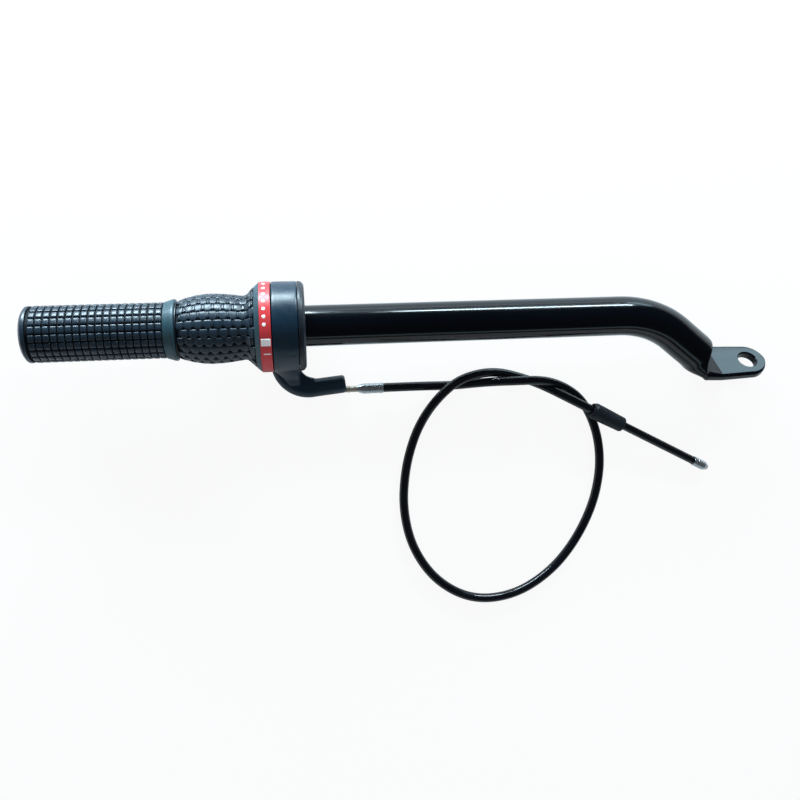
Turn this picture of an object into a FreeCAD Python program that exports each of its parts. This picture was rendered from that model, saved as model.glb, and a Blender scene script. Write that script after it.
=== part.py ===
import FreeCAD, Part
import math
import os
import Sketcher

# Twist throttle handle on a bent steel tube, with its control cable.
# Bar frame: X runs along the bar from the closed hand grip towards the mounting lug, the bar's
# axis is X, and x = 0 is the inboard end of the throttle housing's hub.  Every piece is drawn in
# that frame and set down by one placement, which stands the handle on the plane z = 0.

DIMENSIONS = {
    # tube and lug
    "tube_diameter": 22.0,
    "tube_wall": 2.0,
    "tube_straight": 176.0,
    "bend_radius": 58.0,
    "bend_angle": 38.0,
    "bend_dip": 25.0,
    "tube_tail": 33.6,
    "lug_width": 24.0,
    "lug_end_radius": 11.0,
    "lug_thickness": 5.2,
    "lug_reach": 23.2,
    "lug_tilt": 43.5,
    "lug_slant": -1.1,
    "lug_hole": 10.5,
    "lug_round": 1.2,
    "fold_length": 13.0,
    "lug_split": 2.0,
    # fixed grip
    "fixed_grip_length": 70.4,
    "fixed_grip_diameter": 29.2,
    "grip_end_wall": 4.0,
    "bead_width": 3.4,
    "bead_groove": 0.8,
    "collar_length": 5.8,
    "collar_diameter": 32.4,
    "collar_root_diameter": 29.6,
    "washer_thickness": 0.8,
    "washer_diameter": 30.6,
    # twist grip
    "running_clearance": 0.08,
    "end_play": 0.2,
    "sleeve_diameter": 26.4,
    "cover_length": 39.6,
    "cover_start_diameter": 30.4,
    "cover_crown_diameter": 36.8,
    "cover_neck_diameter": 34.0,
    "cover_neck_length": 34.4,
    "cover_lip_diameter": 43.0,
    "flange_strip": 2.6,
    "flange_thickness": 2.4,
    "band_width": 5.8,
    "band_thickness": 0.8,
    # housing, drum and cable guide
    "housing_diameter": 48.0,
    "housing_width": 15.2,
    "housing_wall": 3.0,
    "cover_rim": 1.6,
    "cover_spigot": 3.6,
    "hub_length": 2.0,
    "hub_diameter": 46.0,
    "drum_pitch_radius": 18.2,
    "drum_width": 5.6,
    "drum_lip": 1.5,
    "drum_neck_diameter": 30.0,
    "wire_diameter": 1.2,
    "wire_clearance": 0.3,
    "groove_clearance": 0.1,
    "guide_offset": 10.5,
    "guide_bend_radius": 14.5,
    "guide_bend_depth": 20.5,
    "guide_root_diameter": 11.6,
    "guide_end_diameter": 10.2,
    "guide_length": 18.3,
    "guide_turn": 95.5,
    "wire_turn": 84.4,
    "foot_width": 10.0,
    "foot_thickness": 6.0,
    "foot_inset": 1.0,
    "disc_spring_thickness": 0.5,
    "spring_clearance": 0.05,
    "cover_screw_diameter": 1.8,
    "cover_screw_length": 8.0,
    "cover_screw_head": 2.8,
    "cover_screw_head_height": 1.0,
    "cover_screw_count": 3.0,
    "cover_screw_start": 60.0,
    "set_screw_diameter": 2.4,
    "set_screw_length": 4.0,
    # cable
    "neck_diameter": 3.4,
    "neck_length": 11.6,
    "neck_seat": 5.0,
    "ferrule_cone": 3.4,
    "ferrule_length": 11.3,
    "ferrule_diameter": 5.8,
    "sheath_diameter": 5.2,
    "end_tube_diameter": 4.8,
    "end_tube_bore": 2.0,
    "tip_length": 10.5,
    "tip_cone": 2.6,
    "tip_diameter": 5.4,
    "tip_bore": 1.6,
    "boot_length": 22.0,
    "boot_diameter": 9.8,
    "boot_end_diameter": 8.8,
    "wire_end_length": 30.0,
    # where the bar stands over the plane z = 0
    "place_x": -66.0,
    "place_y": 8.5,
}

# The free cable's centre line, in the standing frame: out of the ferrule, down to the plane,
# under and over itself, round one open loop, and up to the end tube.
CABLE_ROUTE = [
    (-23.1, -27.9, 5.8),
    (-12.0, -27.9, 5.8),
    (3.0, -28.2, 3.4),
    (18.0, -28.6, 2.7),
    (31.0, -27.8, 2.9),
    (43.0, -27.2, 5.5),
    (54.0, -27.0, 9.5),
    (69.5, -27.0, 9.5),
    (83.0, -31.0, 4.4),
    (94.5, -38.8, 2.7),
    (101.3, -50.0, 2.7),
    (106.0, -65.0, 2.7),
    (106.8, -83.5, 2.7),
    (101.8, -105.0, 2.7),
    (90.0, -127.0, 2.7),
    (74.0, -144.5, 2.7),
    (52.0, -156.5, 2.7),
    (27.0, -157.5, 2.7),
    (5.5, -145.0, 2.7),
    (-8.5, -124.0, 2.7),
    (-13.5, -100.0, 2.7),
    (-11.5, -77.0, 2.7),
    (-6.0, -58.5, 2.7),
    (0.3, -45.5, 5.2),
    (8.3, -34.5, 9.2),
    (19.0, -25.7, 9.3),
    (31.5, -22.0, 7.2),
    (44.5, -21.6, 3.6),
    (58.0, -25.2, 2.7),
    (71.5, -30.6, 4.2),
    (84.5, -38.0, 10.7),
    (97.4, -44.9, 10.8),
]
# The straight end of the cable comes down from the crossing until its tip lies on the plane.
TAIL_TIP = (174.7, -85.4, 2.6)

# The wire lies in the drum's groove from just past the point where it leaves, up to the nipple.
DRUM_WIRE_START = 1.0
DRUM_WIRE_TURN = 8.0

# Shares of a piece's own size that round or seat it, and the slope an edge counts as level at.
MOUTH_INSET = 0.4
MOUTH_HEIGHT = 0.96
LEVEL_SLOPE = 0.01
BEAD_CROWN = 0.7
BEAD_SAG = 0.2
GUSSET_HEIGHT = 0.6
FOOT_DROP = 0.8
HUB_DOME = 0.45
HUB_ROUND = 0.5
RIM_ROUND = 0.6
HEAD_SINK = 0.6
TURN_EASE = 0.45
BOOT_NOSE = 0.07
BOOT_TAPER = 0.6

document = FreeCAD.newDocument("throttle_handle")
sheet = document.addObject("Spreadsheet::Sheet", "dims")
for row, (alias, number) in enumerate(DIMENSIONS.items(), start=1):
    sheet.set(f"A{row}", alias)
    sheet.set(f"B{row}", str(number))
    sheet.setAlias(f"B{row}", alias)
document.recompute()

node_objects = {}


class Size:
    """A number together with the expression that drives it from the spreadsheet."""

    def __init__(self, value, text):
        self.value = float(value)
        self.text = text

    def __add__(self, other):
        other = as_size(other)
        return Size(self.value + other.value, f"({self.text} + {other.text})")

    def __sub__(self, other):
        other = as_size(other)
        return Size(self.value - other.value, f"({self.text} - {other.text})")

    def __mul__(self, other):
        other = as_size(other)
        return Size(self.value * other.value, f"({self.text} * {other.text})")

    def __truediv__(self, other):
        other = as_size(other)
        return Size(self.value / other.value, f"({self.text} / {other.text})")

    def __neg__(self):
        return Size(-self.value, f"(0 - {self.text})")


def as_size(number):
    """Gives plain numbers the same form as driven ones."""
    if isinstance(number, Size):
        return number
    return Size(number, repr(float(number)))


def size(alias):
    """Reads one driving dimension."""
    return Size(sheet.get(alias), f"dims.{alias}")


def cosine(angle):
    return Size(math.cos(math.radians(angle.value)), f"cos({angle.text} * 1 deg)")


def sine(angle):
    return Size(math.sin(math.radians(angle.value)), f"sin({angle.text} * 1 deg)")


ZERO = as_size(0.0)
X_AXIS = FreeCAD.Vector(1, 0, 0)
Z_AXIS = FreeCAD.Vector(0, 0, 1)

tube_radius = size("tube_diameter") / 2
housing_radius = size("housing_diameter") / 2
sleeve_radius = size("sleeve_diameter") / 2
wire_radius = size("wire_diameter") / 2
half_clearance = size("wire_clearance") / 2

# Stations along the bar, from the housing's hub back to the closed end of the hand grip.
housing_face = -size("hub_length")
housing_open = housing_face - size("housing_width")
flange_face = housing_open - size("wire_clearance")
band_start = flange_face - size("band_width")
cover_end = band_start - size("flange_strip")
cover_start = cover_end - size("cover_length")
collar_end = cover_start - size("end_play") - size("washer_thickness")
collar_start = collar_end - size("collar_length")
grip_end = collar_start - size("fixed_grip_length")
tube_start = grip_end + size("grip_end_wall")
drum_plane = -size("guide_offset") - size("hub_length")
cover_seat = housing_face - size("cover_rim")
spigot_start = cover_seat - size("cover_spigot")


def stand(item):
    """Sets a piece that is drawn in the bar frame down on the plane z = 0."""
    item.setExpression("Placement.Base.x", "dims.place_x")
    item.setExpression("Placement.Base.y", "dims.place_y")
    item.setExpression("Placement.Base.z", housing_radius.text)


def new_body(label):
    body = document.addObject("PartDesign::Body", label)
    body.Label = label
    node_objects[label] = body
    stand(body)
    return body


def new_feature(label, shape, place):
    """A piece whose shape no sketched feature gives."""
    feature = document.addObject("Part::Feature", label)
    feature.Label = label
    feature.Shape = shape
    feature.Placement = FreeCAD.Placement(place, FreeCAD.Rotation())
    node_objects[label] = feature
    return feature


def origin_item(body, role):
    """One of a body's own base planes or axes."""
    return next(item for item in body.Origin.OriginFeatures if item.Role == role)


def new_sketch(body, name, role="XY_Plane"):
    sketch = body.newObject("Sketcher::SketchObject", name)
    sketch.AttachmentSupport = (origin_item(body, role), [""])
    sketch.MapMode = "FlatFace"
    return sketch


def pin_point(sketch, geometry, end, x, y):
    """Holds one end of a sketched edge at a driven position."""
    for kind, axis, number in (("DistanceX", -2, x), ("DistanceY", -1, y)):
        if number is ZERO:
            sketch.addConstraint(Sketcher.Constraint("PointOnObject", geometry, end, axis))
            continue
        index = sketch.addConstraint(
            Sketcher.Constraint(kind, -1, 1, geometry, end, number.value)
        )
        sketch.setExpression(f"Constraints[{index}]", number.text)


def draw_path(sketch, points, closed=True):
    """Draws lines, and arcs where a point carries a sagitta (left of the way of travel if +)."""
    joints = []
    count = len(points) if closed else len(points) - 1
    for index in range(count):
        start, end = points[index], points[(index + 1) % len(points)]
        first = FreeCAD.Vector(start[0].value, start[1].value, 0)
        last = FreeCAD.Vector(end[0].value, end[1].value, 0)
        if len(start) == 2:
            edge = sketch.addGeometry(Part.LineSegment(first, last), False)
            joints.append((edge, 1, 2))
            continue
        sagitta = start[2]
        run = last - first
        side = FreeCAD.Vector(-run.y, run.x, 0).normalize()
        middle = (first + last) * 0.5 + side * sagitta.value
        turns_left = sagitta.value < 0
        ends = (first, middle, last) if turns_left else (last, middle, first)
        edge = sketch.addGeometry(Part.Arc(*ends), False)
        joints.append((edge, 1, 2) if turns_left else (edge, 2, 1))
        width, height = end[0] - start[0], end[1] - start[1]
        chord = width * width + height * height
        radius = (chord / 4 + sagitta * sagitta) / (sagitta * 2)
        if radius.value < 0:
            radius = -radius
        rule = sketch.addConstraint(Sketcher.Constraint("Radius", edge, radius.value))
        sketch.setExpression(f"Constraints[{rule}]", radius.text)
    for index, (edge, head, tail) in enumerate(joints):
        pin_point(sketch, edge, head, points[index][0], points[index][1])
        if closed or index + 1 < len(joints):
            follower, start_end, _ = joints[(index + 1) % len(joints)]
            sketch.addConstraint(
                Sketcher.Constraint("Coincident", edge, tail, follower, start_end)
            )
        else:
            pin_point(sketch, edge, tail, points[-1][0], points[-1][1])


def draw_circle(sketch, radius, x=ZERO, y=ZERO):
    circle = Part.Circle(FreeCAD.Vector(x.value, y.value, 0), Z_AXIS, radius.value)
    edge = sketch.addGeometry(circle, False)
    pin_point(sketch, edge, 3, x, y)
    rule = sketch.addConstraint(Sketcher.Constraint("Radius", edge, radius.value))
    sketch.setExpression(f"Constraints[{rule}]", radius.text)


def revolve(body, name, points, kind="PartDesign::Revolution"):
    """Turns a half section (distance along the bar, radius) about the bar's axis."""
    sketch = new_sketch(body, f"{name}_section")
    draw_path(sketch, points)
    feature = body.newObject(kind, name)
    feature.Profile = sketch
    feature.ReferenceAxis = (sketch, ["H_Axis"])
    feature.Angle = 360
    return feature


def ring(label, start, end, inner, outer):
    """A plain ring about the bar, between two stations."""
    body = new_body(label)
    revolve(body, f"{label}_ring", [(start, inner), (end, inner), (end, outer), (start, outer)])
    return body


# ---------------------------------------------------------------- tube with its flattened lug


def tube_end():
    """Centre and direction of the tube's lower end, and the lug's width and normal, in the bar frame."""
    dip = math.radians(sheet.get("bend_dip"))
    turn = math.radians(sheet.get("bend_angle"))
    bend = sheet.get("bend_radius")
    down = FreeCAD.Vector(0, -math.cos(dip), -math.sin(dip))
    start = X_AXIS * sheet.get("tube_straight")
    middle = start + X_AXIS * (bend * math.sin(turn / 2)) + down * (bend * (1 - math.cos(turn / 2)))
    arc_end = start + X_AXIS * (bend * math.sin(turn)) + down * (bend * (1 - math.cos(turn)))
    heading = X_AXIS * math.cos(turn) + down * math.sin(turn)
    end = arc_end + heading * sheet.get("tube_tail")
    tilt = math.radians(sheet.get("lug_tilt"))
    normal = FreeCAD.Vector(0, math.sin(tilt), math.cos(tilt))
    across = FreeCAD.Vector(0, math.cos(tilt), -math.sin(tilt))
    return start, middle, arc_end, heading, end, across, normal


def ellipse_wire(centre, long_axis, short_axis):
    ellipse = Part.Ellipse(centre + long_axis, centre + short_axis, centre)
    return Part.Wire([ellipse.toShape()])


def swept_rod(path, radius):
    head = path.Vertexes[0].Point
    direction = path.Edges[0].tangentAt(path.Edges[0].FirstParameter)
    section = Part.Wire([Part.Circle(head, direction, radius).toShape()])
    return path.makePipeShell([section], True, False)


def make_tiller_tube():
    start, middle, arc_end, heading, end, across, normal = tube_end()
    radius = sheet.get("tube_diameter") / 2
    bore = radius - sheet.get("tube_wall")
    fold = sheet.get("fold_length")
    pinch = end - heading * fold
    head = X_AXIS * tube_start.value
    path = Part.Wire([
        Part.LineSegment(head, start).toShape(),
        Part.Arc(start, middle, arc_end).toShape(),
        Part.LineSegment(arc_end, pinch).toShape(),
    ])
    tube = swept_rod(path, radius).cut(swept_rod(path, bore))

    half_width = sheet.get("lug_width") / 2
    half_thickness = sheet.get("lug_thickness") / 2
    slant = sheet.get("lug_slant")
    round_section = Part.Wire([Part.Circle(pinch, heading, radius).toShape()])
    flat_section = ellipse_wire(
        end, across * (half_width - MOUTH_INSET), normal * (half_thickness * MOUTH_HEIGHT)
    )
    fold_solid = Part.makeLoft([round_section, flat_section], True, True)

    tip_radius = sheet.get("lug_end_radius")
    hole_centre = end + X_AXIS * sheet.get("lug_reach")
    near_edge = end - across * half_width + X_AXIS * slant
    far_edge = end + across * half_width - X_AXIS * slant
    near_tip = hole_centre - across * tip_radius
    far_tip = hole_centre + across * tip_radius
    outline = Part.Wire([
        Part.LineSegment(far_edge, near_edge).toShape(),
        Part.LineSegment(near_edge, near_tip).toShape(),
        Part.Arc(near_tip, hole_centre + X_AXIS * tip_radius, far_tip).toShape(),
        Part.LineSegment(far_tip, far_edge).toShape(),
    ])
    outline.translate(normal * -half_thickness)
    plate = Part.Face(outline).extrude(normal * (2 * half_thickness))
    flat_edges = [
        edge for edge in plate.Edges
        if abs(edge.tangentAt(edge.FirstParameter).dot(normal)) < LEVEL_SLOPE
    ]
    plate = plate.makeFillet(sheet.get("lug_round"), flat_edges)
    hole_radius = sheet.get("lug_hole") / 2
    drill = Part.makeCylinder(
        hole_radius, 4 * half_thickness, hole_centre - normal * (2 * half_thickness), normal
    )
    solid = tube.fuse([fold_solid, plate]).cut(drill)
    # The tube and its lug are one piece of steel, kept as two nodes that meet face to face.
    past_split = Part.makeBox(
        2 * sheet.get("lug_reach"), 4 * half_width, 4 * half_width,
        end + FreeCAD.Vector(sheet.get("lug_split"), -2 * half_width, -2 * half_width),
    )
    new_feature("tiller_tube", solid.cut(past_split).Solids[0], standing_offset())
    new_feature("pivot_lug", solid.common(past_split).Solids[0], standing_offset())
    print("pivot hole centre", [round(value, 3) for value in hole_centre + standing_offset()])


def standing_offset():
    return FreeCAD.Vector(
        sheet.get("place_x"), sheet.get("place_y"), housing_radius.value
    )


# ---------------------------------------------------------------- hand grip, collar and washer


def make_fixed_grip():
    body = new_body("fixed_grip")
    outer = size("fixed_grip_diameter") / 2
    groove = outer - size("bead_groove")
    bead_end = grip_end + size("bead_width")
    crown = size("bead_width") * BEAD_CROWN
    revolve(body, "grip_sleeve", [
        (grip_end, ZERO),
        (tube_start, ZERO),
        (tube_start, tube_radius),
        (collar_start, tube_radius),
        (collar_start, outer),
        (bead_end + size("bead_groove"), outer),
        (bead_end + size("bead_groove"), groove),
        (bead_end, groove),
        (bead_end, outer),
        (grip_end + crown, outer, -crown * BEAD_SAG),
        (grip_end, outer - crown),
    ])


def make_collar():
    body = new_body("grip_collar")
    root = size("collar_root_diameter") / 2
    rim = size("collar_diameter") / 2
    lip_start = collar_end - size("washer_thickness")
    revolve(body, "collar_flare", [
        (collar_start, tube_radius),
        (collar_end, tube_radius),
        (collar_end, rim),
        (lip_start, rim),
        (collar_start, root),
    ])


def make_washer():
    washer_end = collar_end + size("washer_thickness")
    inner = tube_radius + size("running_clearance")
    ring("thrust_washer", collar_end, washer_end, inner, size("washer_diameter") / 2)


# ---------------------------------------------------------------- rotating pieces


def make_twist_barrel():
    body = new_body("twist_barrel")
    inner = tube_radius + size("running_clearance")
    lip = size("cover_lip_diameter") / 2
    band_floor = housing_radius - size("band_thickness")
    flange_start = flange_face - size("flange_thickness")
    neck = size("drum_neck_diameter") / 2
    groove_floor = size("drum_pitch_radius") - wire_radius - half_clearance
    drum_rim = size("drum_pitch_radius") + size("drum_lip")
    groove_half = wire_radius + half_clearance
    drum_start = drum_plane - size("drum_width") / 2
    drum_end = drum_plane + size("drum_width") / 2
    revolve(body, "barrel_turned", [
        (cover_start, inner),
        (drum_end, inner),
        (drum_end, drum_rim),
        (drum_plane + groove_half, drum_rim),
        (drum_plane + groove_half, groove_floor),
        (drum_plane - groove_half, groove_floor),
        (drum_plane - groove_half, drum_rim),
        (drum_start, drum_rim),
        (drum_start, neck),
        (flange_face, neck),
        (flange_face, band_floor),
        (band_start, band_floor),
        (band_start, housing_radius),
        (cover_end, lip),
        (cover_end, sleeve_radius),
        (cover_start, sleeve_radius),
    ])
    # The flange behind the band is a thin shell, open towards the housing.
    revolve(body, "flange_hollow", [
        (flange_start, neck),
        (flange_face, neck),
        (flange_face, band_floor - size("flange_thickness")),
        (flange_start, band_floor - size("flange_thickness")),
    ], "PartDesign::Groove")
    make_nipple_pocket(body)


def nipple_angle():
    """The nipple sits just past the point where the wire leaves the drum at rest."""
    return math.radians(-90 + 14)


def make_nipple_pocket(body):
    """A cross hole in the drum for the wire's barrel nipple."""
    sketch = new_sketch(body, "nipple_hole_section", "YZ_Plane")
    sketch.setExpression("AttachmentOffset.Base.z", (drum_plane + size("drum_width")).text)
    pitch = size("drum_pitch_radius") - wire_radius
    draw_circle(
        sketch, size("wire_diameter") + half_clearance,
        pitch * math.cos(nipple_angle()), pitch * math.sin(nipple_angle()),
    )
    pocket = body.newObject("PartDesign::Pocket", "nipple_hole")
    pocket.Profile = sketch
    pocket.Length = 2 * sheet.get("drum_width")
    pocket.setExpression("Length", (size("drum_width") * 2).text)


def make_drum_nipple():
    body = new_body("drum_nipple")
    sketch = new_sketch(body, "nipple_section", "YZ_Plane")
    sketch.setExpression("AttachmentOffset.Base.z", (drum_plane - size("drum_width") / 2).text)
    pitch = size("drum_pitch_radius") - wire_radius
    draw_circle(
        sketch, size("wire_diameter") + size("groove_clearance"),
        pitch * math.cos(nipple_angle()), pitch * math.sin(nipple_angle()),
    )
    pad = body.newObject("PartDesign::Pad", "nipple_pad")
    pad.Profile = sketch
    pad.setExpression("Length", size("drum_width").text)


def make_twist_cover():
    body = new_body("twist_cover")
    crown_end = cover_start + size("cover_neck_length")
    start_radius = size("cover_start_diameter") / 2
    neck_radius = size("cover_neck_diameter") / 2
    rise = (size("cover_crown_diameter") - size("cover_neck_diameter")) / 2
    sagitta = rise + (neck_radius - start_radius) / 2
    revolve(body, "cover_barrel", [
        (cover_start, sleeve_radius),
        (cover_end, sleeve_radius),
        (cover_end, size("cover_lip_diameter") / 2),
        (crown_end, neck_radius, -sagitta),
        (cover_start, start_radius),
    ])


def make_indicator_band():
    floor = housing_radius - size("band_thickness")
    ring("indicator_band", band_start, flange_face, floor, housing_radius)


# ---------------------------------------------------------------- housing with its cable guide


def guide_frame():
    """Drawing plane of the cable guide: level, under the bar, where the wire leaves the drum."""
    return -size("drum_pitch_radius")


def bend_points(turn, length):
    """Start and end of a bend out of the drum, and the end of the straight after it, in plan."""
    bend = size("guide_bend_radius")
    start = (drum_plane, -size("guide_bend_depth"))
    finish = (
        start[0] + bend * (as_size(1) - cosine(turn)),
        start[1] - bend * sine(turn),
    )
    end = (
        finish[0] + length * sine(turn),
        finish[1] - length * cosine(turn),
    )
    return start, finish, end


def guide_points():
    return bend_points(size("guide_turn"), size("guide_length"))


def wire_points():
    """The wire leaves the arm off its middle, so it turns a little less than the arm does."""
    turn = size("wire_turn")
    _, finish, _ = bend_points(turn, ZERO)
    length = (guide_points()[2][0] - size("neck_seat") - finish[0]) / sine(turn)
    return bend_points(turn, length)


def plan_sketch(body, name):
    """A level sketch at the guide's height."""
    sketch = new_sketch(body, name)
    sketch.setExpression("AttachmentOffset.Base.z", guide_frame().text)
    return sketch


def draw_bend(sketch, points, turn, inner_start, with_end=True):
    """A centre line straight out of the drum, round one bend, and along a straight end."""
    start, finish, end = points
    sagitta = size("guide_bend_radius") * (as_size(1) - cosine(turn / 2))
    line = [(start[0], inner_start), (start[0], start[1], -sagitta), finish]
    if with_end:
        line.append(end)
    draw_path(sketch, line, closed=False)


def cross_sketch(body, name, radius, inner_start):
    """A round section across the guide where it starts."""
    sketch = new_sketch(body, name, "XZ_Plane")
    sketch.setExpression("AttachmentOffset.Base.z", (-inner_start).text)
    draw_circle(sketch, radius, drum_plane, guide_frame())
    return sketch


def pipe(body, name, radius, inner_start, line, kind, with_end=True):
    """A round rod or bore along the arm's line or the wire's line."""
    points, turn = line
    path = plan_sketch(body, f"{name}_path")
    draw_bend(path, points, turn, inner_start, with_end)
    section = cross_sketch(body, f"{name}_section", radius, inner_start)
    document.recompute()
    feature = body.newObject(kind, name)
    feature.Profile = section
    feature.Spine = (path, ["Edge1", "Edge2", "Edge3"] if with_end else ["Edge1", "Edge2"])
    return feature


def arm_line():
    return guide_points(), size("guide_turn")


def wire_line():
    return wire_points(), size("wire_turn")


def make_housing():
    body = new_body("housing")
    revolve(body, "housing_disc", [
        (housing_open, ZERO),
        (cover_seat, ZERO),
        (cover_seat, housing_radius),
        (housing_open, housing_radius),
    ])
    foot = new_sketch(body, "foot_section", "YZ_Plane")
    foot.setExpression("AttachmentOffset.Base.z", (housing_open + size("foot_inset")).text)
    foot_top = size("foot_thickness") - housing_radius
    draw_path(foot, [
        (-size("foot_width"), -housing_radius),
        (size("foot_width"), -housing_radius),
        (size("foot_width"), foot_top),
        (-size("foot_width"), foot_top),
    ])
    pad = body.newObject("PartDesign::Pad", "foot_pad")
    pad.Profile = foot
    pad.setExpression("Length", (cover_seat - housing_open - size("foot_inset") * 2).text)
    add_guide_arm(body)
    add_guide_web(body)
    add_arm_gusset(body)
    chamber = housing_radius - size("housing_wall")
    revolve(body, "chamber", [
        (housing_open, ZERO),
        (cover_seat, ZERO),
        (cover_seat, chamber),
        (housing_open, chamber),
    ], "PartDesign::Groove")
    # Room for the turning flange, which the arm's root would reach into.
    flange_room = housing_radius + size("wire_clearance")
    revolve(body, "flange_room", [
        (band_start, ZERO),
        (housing_open, ZERO),
        (housing_open, flange_room),
        (band_start, flange_room),
    ], "PartDesign::Groove")
    document.recompute()
    pipe(
        body, "guide_bore", wire_radius + size("wire_clearance"), -size("wire_diameter"),
        wire_line(), "PartDesign::SubtractivePipe",
    )
    add_neck_socket(body)
    drill_cover_screw_holes(body, "screw_pilot", size("cover_screw_diameter") / 2)


def add_guide_arm(body):
    """The arm has a full round bend, and its straight tapers towards the end."""
    root = size("guide_root_diameter") / 2
    pipe(
        body, "guide_bend", root, -size("guide_bend_depth") / 2, arm_line(),
        "PartDesign::AdditivePipe", with_end=False,
    )
    taper = new_sketch(body, "taper_section")
    place_along_guide(taper, guide_points()[1])
    draw_path(taper, [
        (ZERO, ZERO),
        (size("guide_length"), ZERO),
        (size("guide_length"), size("guide_end_diameter") / 2),
        (ZERO, root),
    ])
    cone = body.newObject("PartDesign::Revolution", "guide_taper")
    cone.Profile = taper
    cone.ReferenceAxis = (taper, ["H_Axis"])
    cone.Angle = 360


def place_along_guide(sketch, spot):
    """Turns a sketch so that its X axis runs out along the guide's straight end."""
    sketch.AttachmentOffset = FreeCAD.Placement(
        FreeCAD.Vector(0, 0, 0),
        FreeCAD.Rotation(Z_AXIS, sheet.get("guide_turn") - 90),
    )
    sketch.setExpression("AttachmentOffset.Base.x", spot[0].text)
    sketch.setExpression("AttachmentOffset.Base.y", spot[1].text)
    sketch.setExpression("AttachmentOffset.Base.z", guide_frame().text)
    sketch.setExpression("AttachmentOffset.Rotation.Angle", f"{size('guide_turn').text} - 90")


def add_guide_web(body):
    """A thick gusset fills the inner corner between the housing's face and the arm."""
    _, finish, _ = guide_points()
    sketch = plan_sketch(body, "web_section")
    inner = finish[1] + size("guide_root_diameter") / 2
    reach = size("guide_root_diameter") / 2
    draw_path(sketch, [
        (drum_plane, inner + reach),
        (cover_seat, inner + reach, size("wire_diameter")),
        (finish[0] + reach, inner),
        (finish[0], finish[1]),
        (drum_plane, -size("guide_bend_depth") - reach),
    ])
    pad = body.newObject("PartDesign::Pad", "guide_web")
    pad.Profile = sketch
    pad.Midplane = True
    pad.setExpression("Length", (size("guide_root_diameter") * GUSSET_HEIGHT).text)


def add_arm_gusset(body):
    """Carries the arm's root up the housing's side in one hollow curve."""
    sketch = new_sketch(body, "gusset_section", "YZ_Plane")
    sketch.setExpression("AttachmentOffset.Base.z", (housing_open + size("cover_rim")).text)
    arm_top = guide_frame() + size("guide_root_diameter") / 2
    inner = -(housing_radius - size("housing_wall") / 2)
    foot = -size("guide_bend_depth") - size("guide_bend_radius") * FOOT_DROP
    draw_path(sketch, [
        (inner, guide_frame()),
        (inner, ZERO - size("housing_wall")),
        (-housing_radius, ZERO - size("housing_wall"), size("cover_rim")),
        (foot, arm_top),
        (foot, guide_frame()),
    ])
    pad = body.newObject("PartDesign::Pad", "arm_gusset")
    pad.Profile = sketch
    pad.setExpression("Length", (cover_seat - housing_open - size("cover_rim") * 2).text)


def neck_axis():
    """The metal neck carries on from the end of the wire's line, along the bar's direction."""
    return wire_points()[2]


def neck_sketch(body, name, station):
    """A section across the neck, at a distance along X from the arm's end."""
    sketch = new_sketch(body, name, "YZ_Plane")
    sketch.setExpression("AttachmentOffset.Base.z", station.text)
    return sketch


def add_neck_socket(body):
    sketch = neck_sketch(body, "socket_section", neck_axis()[0])
    draw_circle(sketch, size("neck_diameter") / 2, neck_axis()[1], guide_frame())
    pocket = body.newObject("PartDesign::Pocket", "neck_socket")
    pocket.Profile = sketch
    pocket.Reversed = True
    pocket.setExpression("Length", (size("neck_seat") * 3).text)


def drill_cover_screw_holes(body, name, radius, floor=None):
    """A ring of holes for the cover's screws, through to the floor that is given."""
    if floor is None:
        floor = housing_face - head_sink() - size("cover_screw_length")
    sketch = new_sketch(body, f"{name}_section", "YZ_Plane")
    spot = housing_radius - size("housing_wall") / 2
    start = size("cover_screw_start")
    draw_circle(sketch, radius, -spot * sine(start), spot * cosine(start))
    pocket = body.newObject("PartDesign::Pocket", name)
    pocket.Profile = sketch
    pocket.setExpression("Length", (-floor).text)
    repeat_round(body, pocket, f"{name}_ring")


def repeat_round(body, feature, name):
    pattern = body.newObject("PartDesign::PolarPattern", name)
    pattern.Originals = [feature]
    pattern.Axis = (origin_item(body, "X_Axis"), [""])
    pattern.Angle = 360
    pattern.Occurrences = int(sheet.get("cover_screw_count"))
    body.Tip = pattern


def make_housing_cover():
    body = new_body("housing_cover")
    chamber = housing_radius - size("housing_wall")
    hub = size("hub_diameter") / 2
    dome = size("hub_length") * HUB_DOME
    edge = size("cover_rim") * RIM_ROUND
    revolve(body, "cover_disc", [
        (spigot_start, tube_radius),
        (ZERO, tube_radius),
        (ZERO, hub - size("hub_length") * HUB_ROUND),
        (-size("hub_length") * HUB_ROUND, hub),
        (housing_face + dome, hub),
        (housing_face, housing_radius - edge),
        (housing_face - edge, housing_radius),
        (cover_seat, housing_radius),
        (cover_seat, chamber),
        (spigot_start, chamber),
    ])
    drill_cover_screw_holes(body, "screw_hole", size("cover_screw_diameter") / 2)
    drill_cover_screw_holes(
        body, "head_recess", size("cover_screw_head") / 2, housing_face - head_sink()
    )
    sketch = new_sketch(body, "grub_section", "XY_Plane")
    draw_circle(sketch, size("set_screw_diameter") / 2, set_screw_station(), ZERO)
    pocket = body.newObject("PartDesign::Pocket", "grub_hole")
    pocket.Profile = sketch
    pocket.setExpression("Length", housing_radius.text)


def set_screw_station():
    return -(size("hub_length") + size("cover_rim")) / 2


def head_sink():
    """How far the screw heads sit below the cover's face."""
    return size("cover_screw_head_height") * HEAD_SINK


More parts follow.
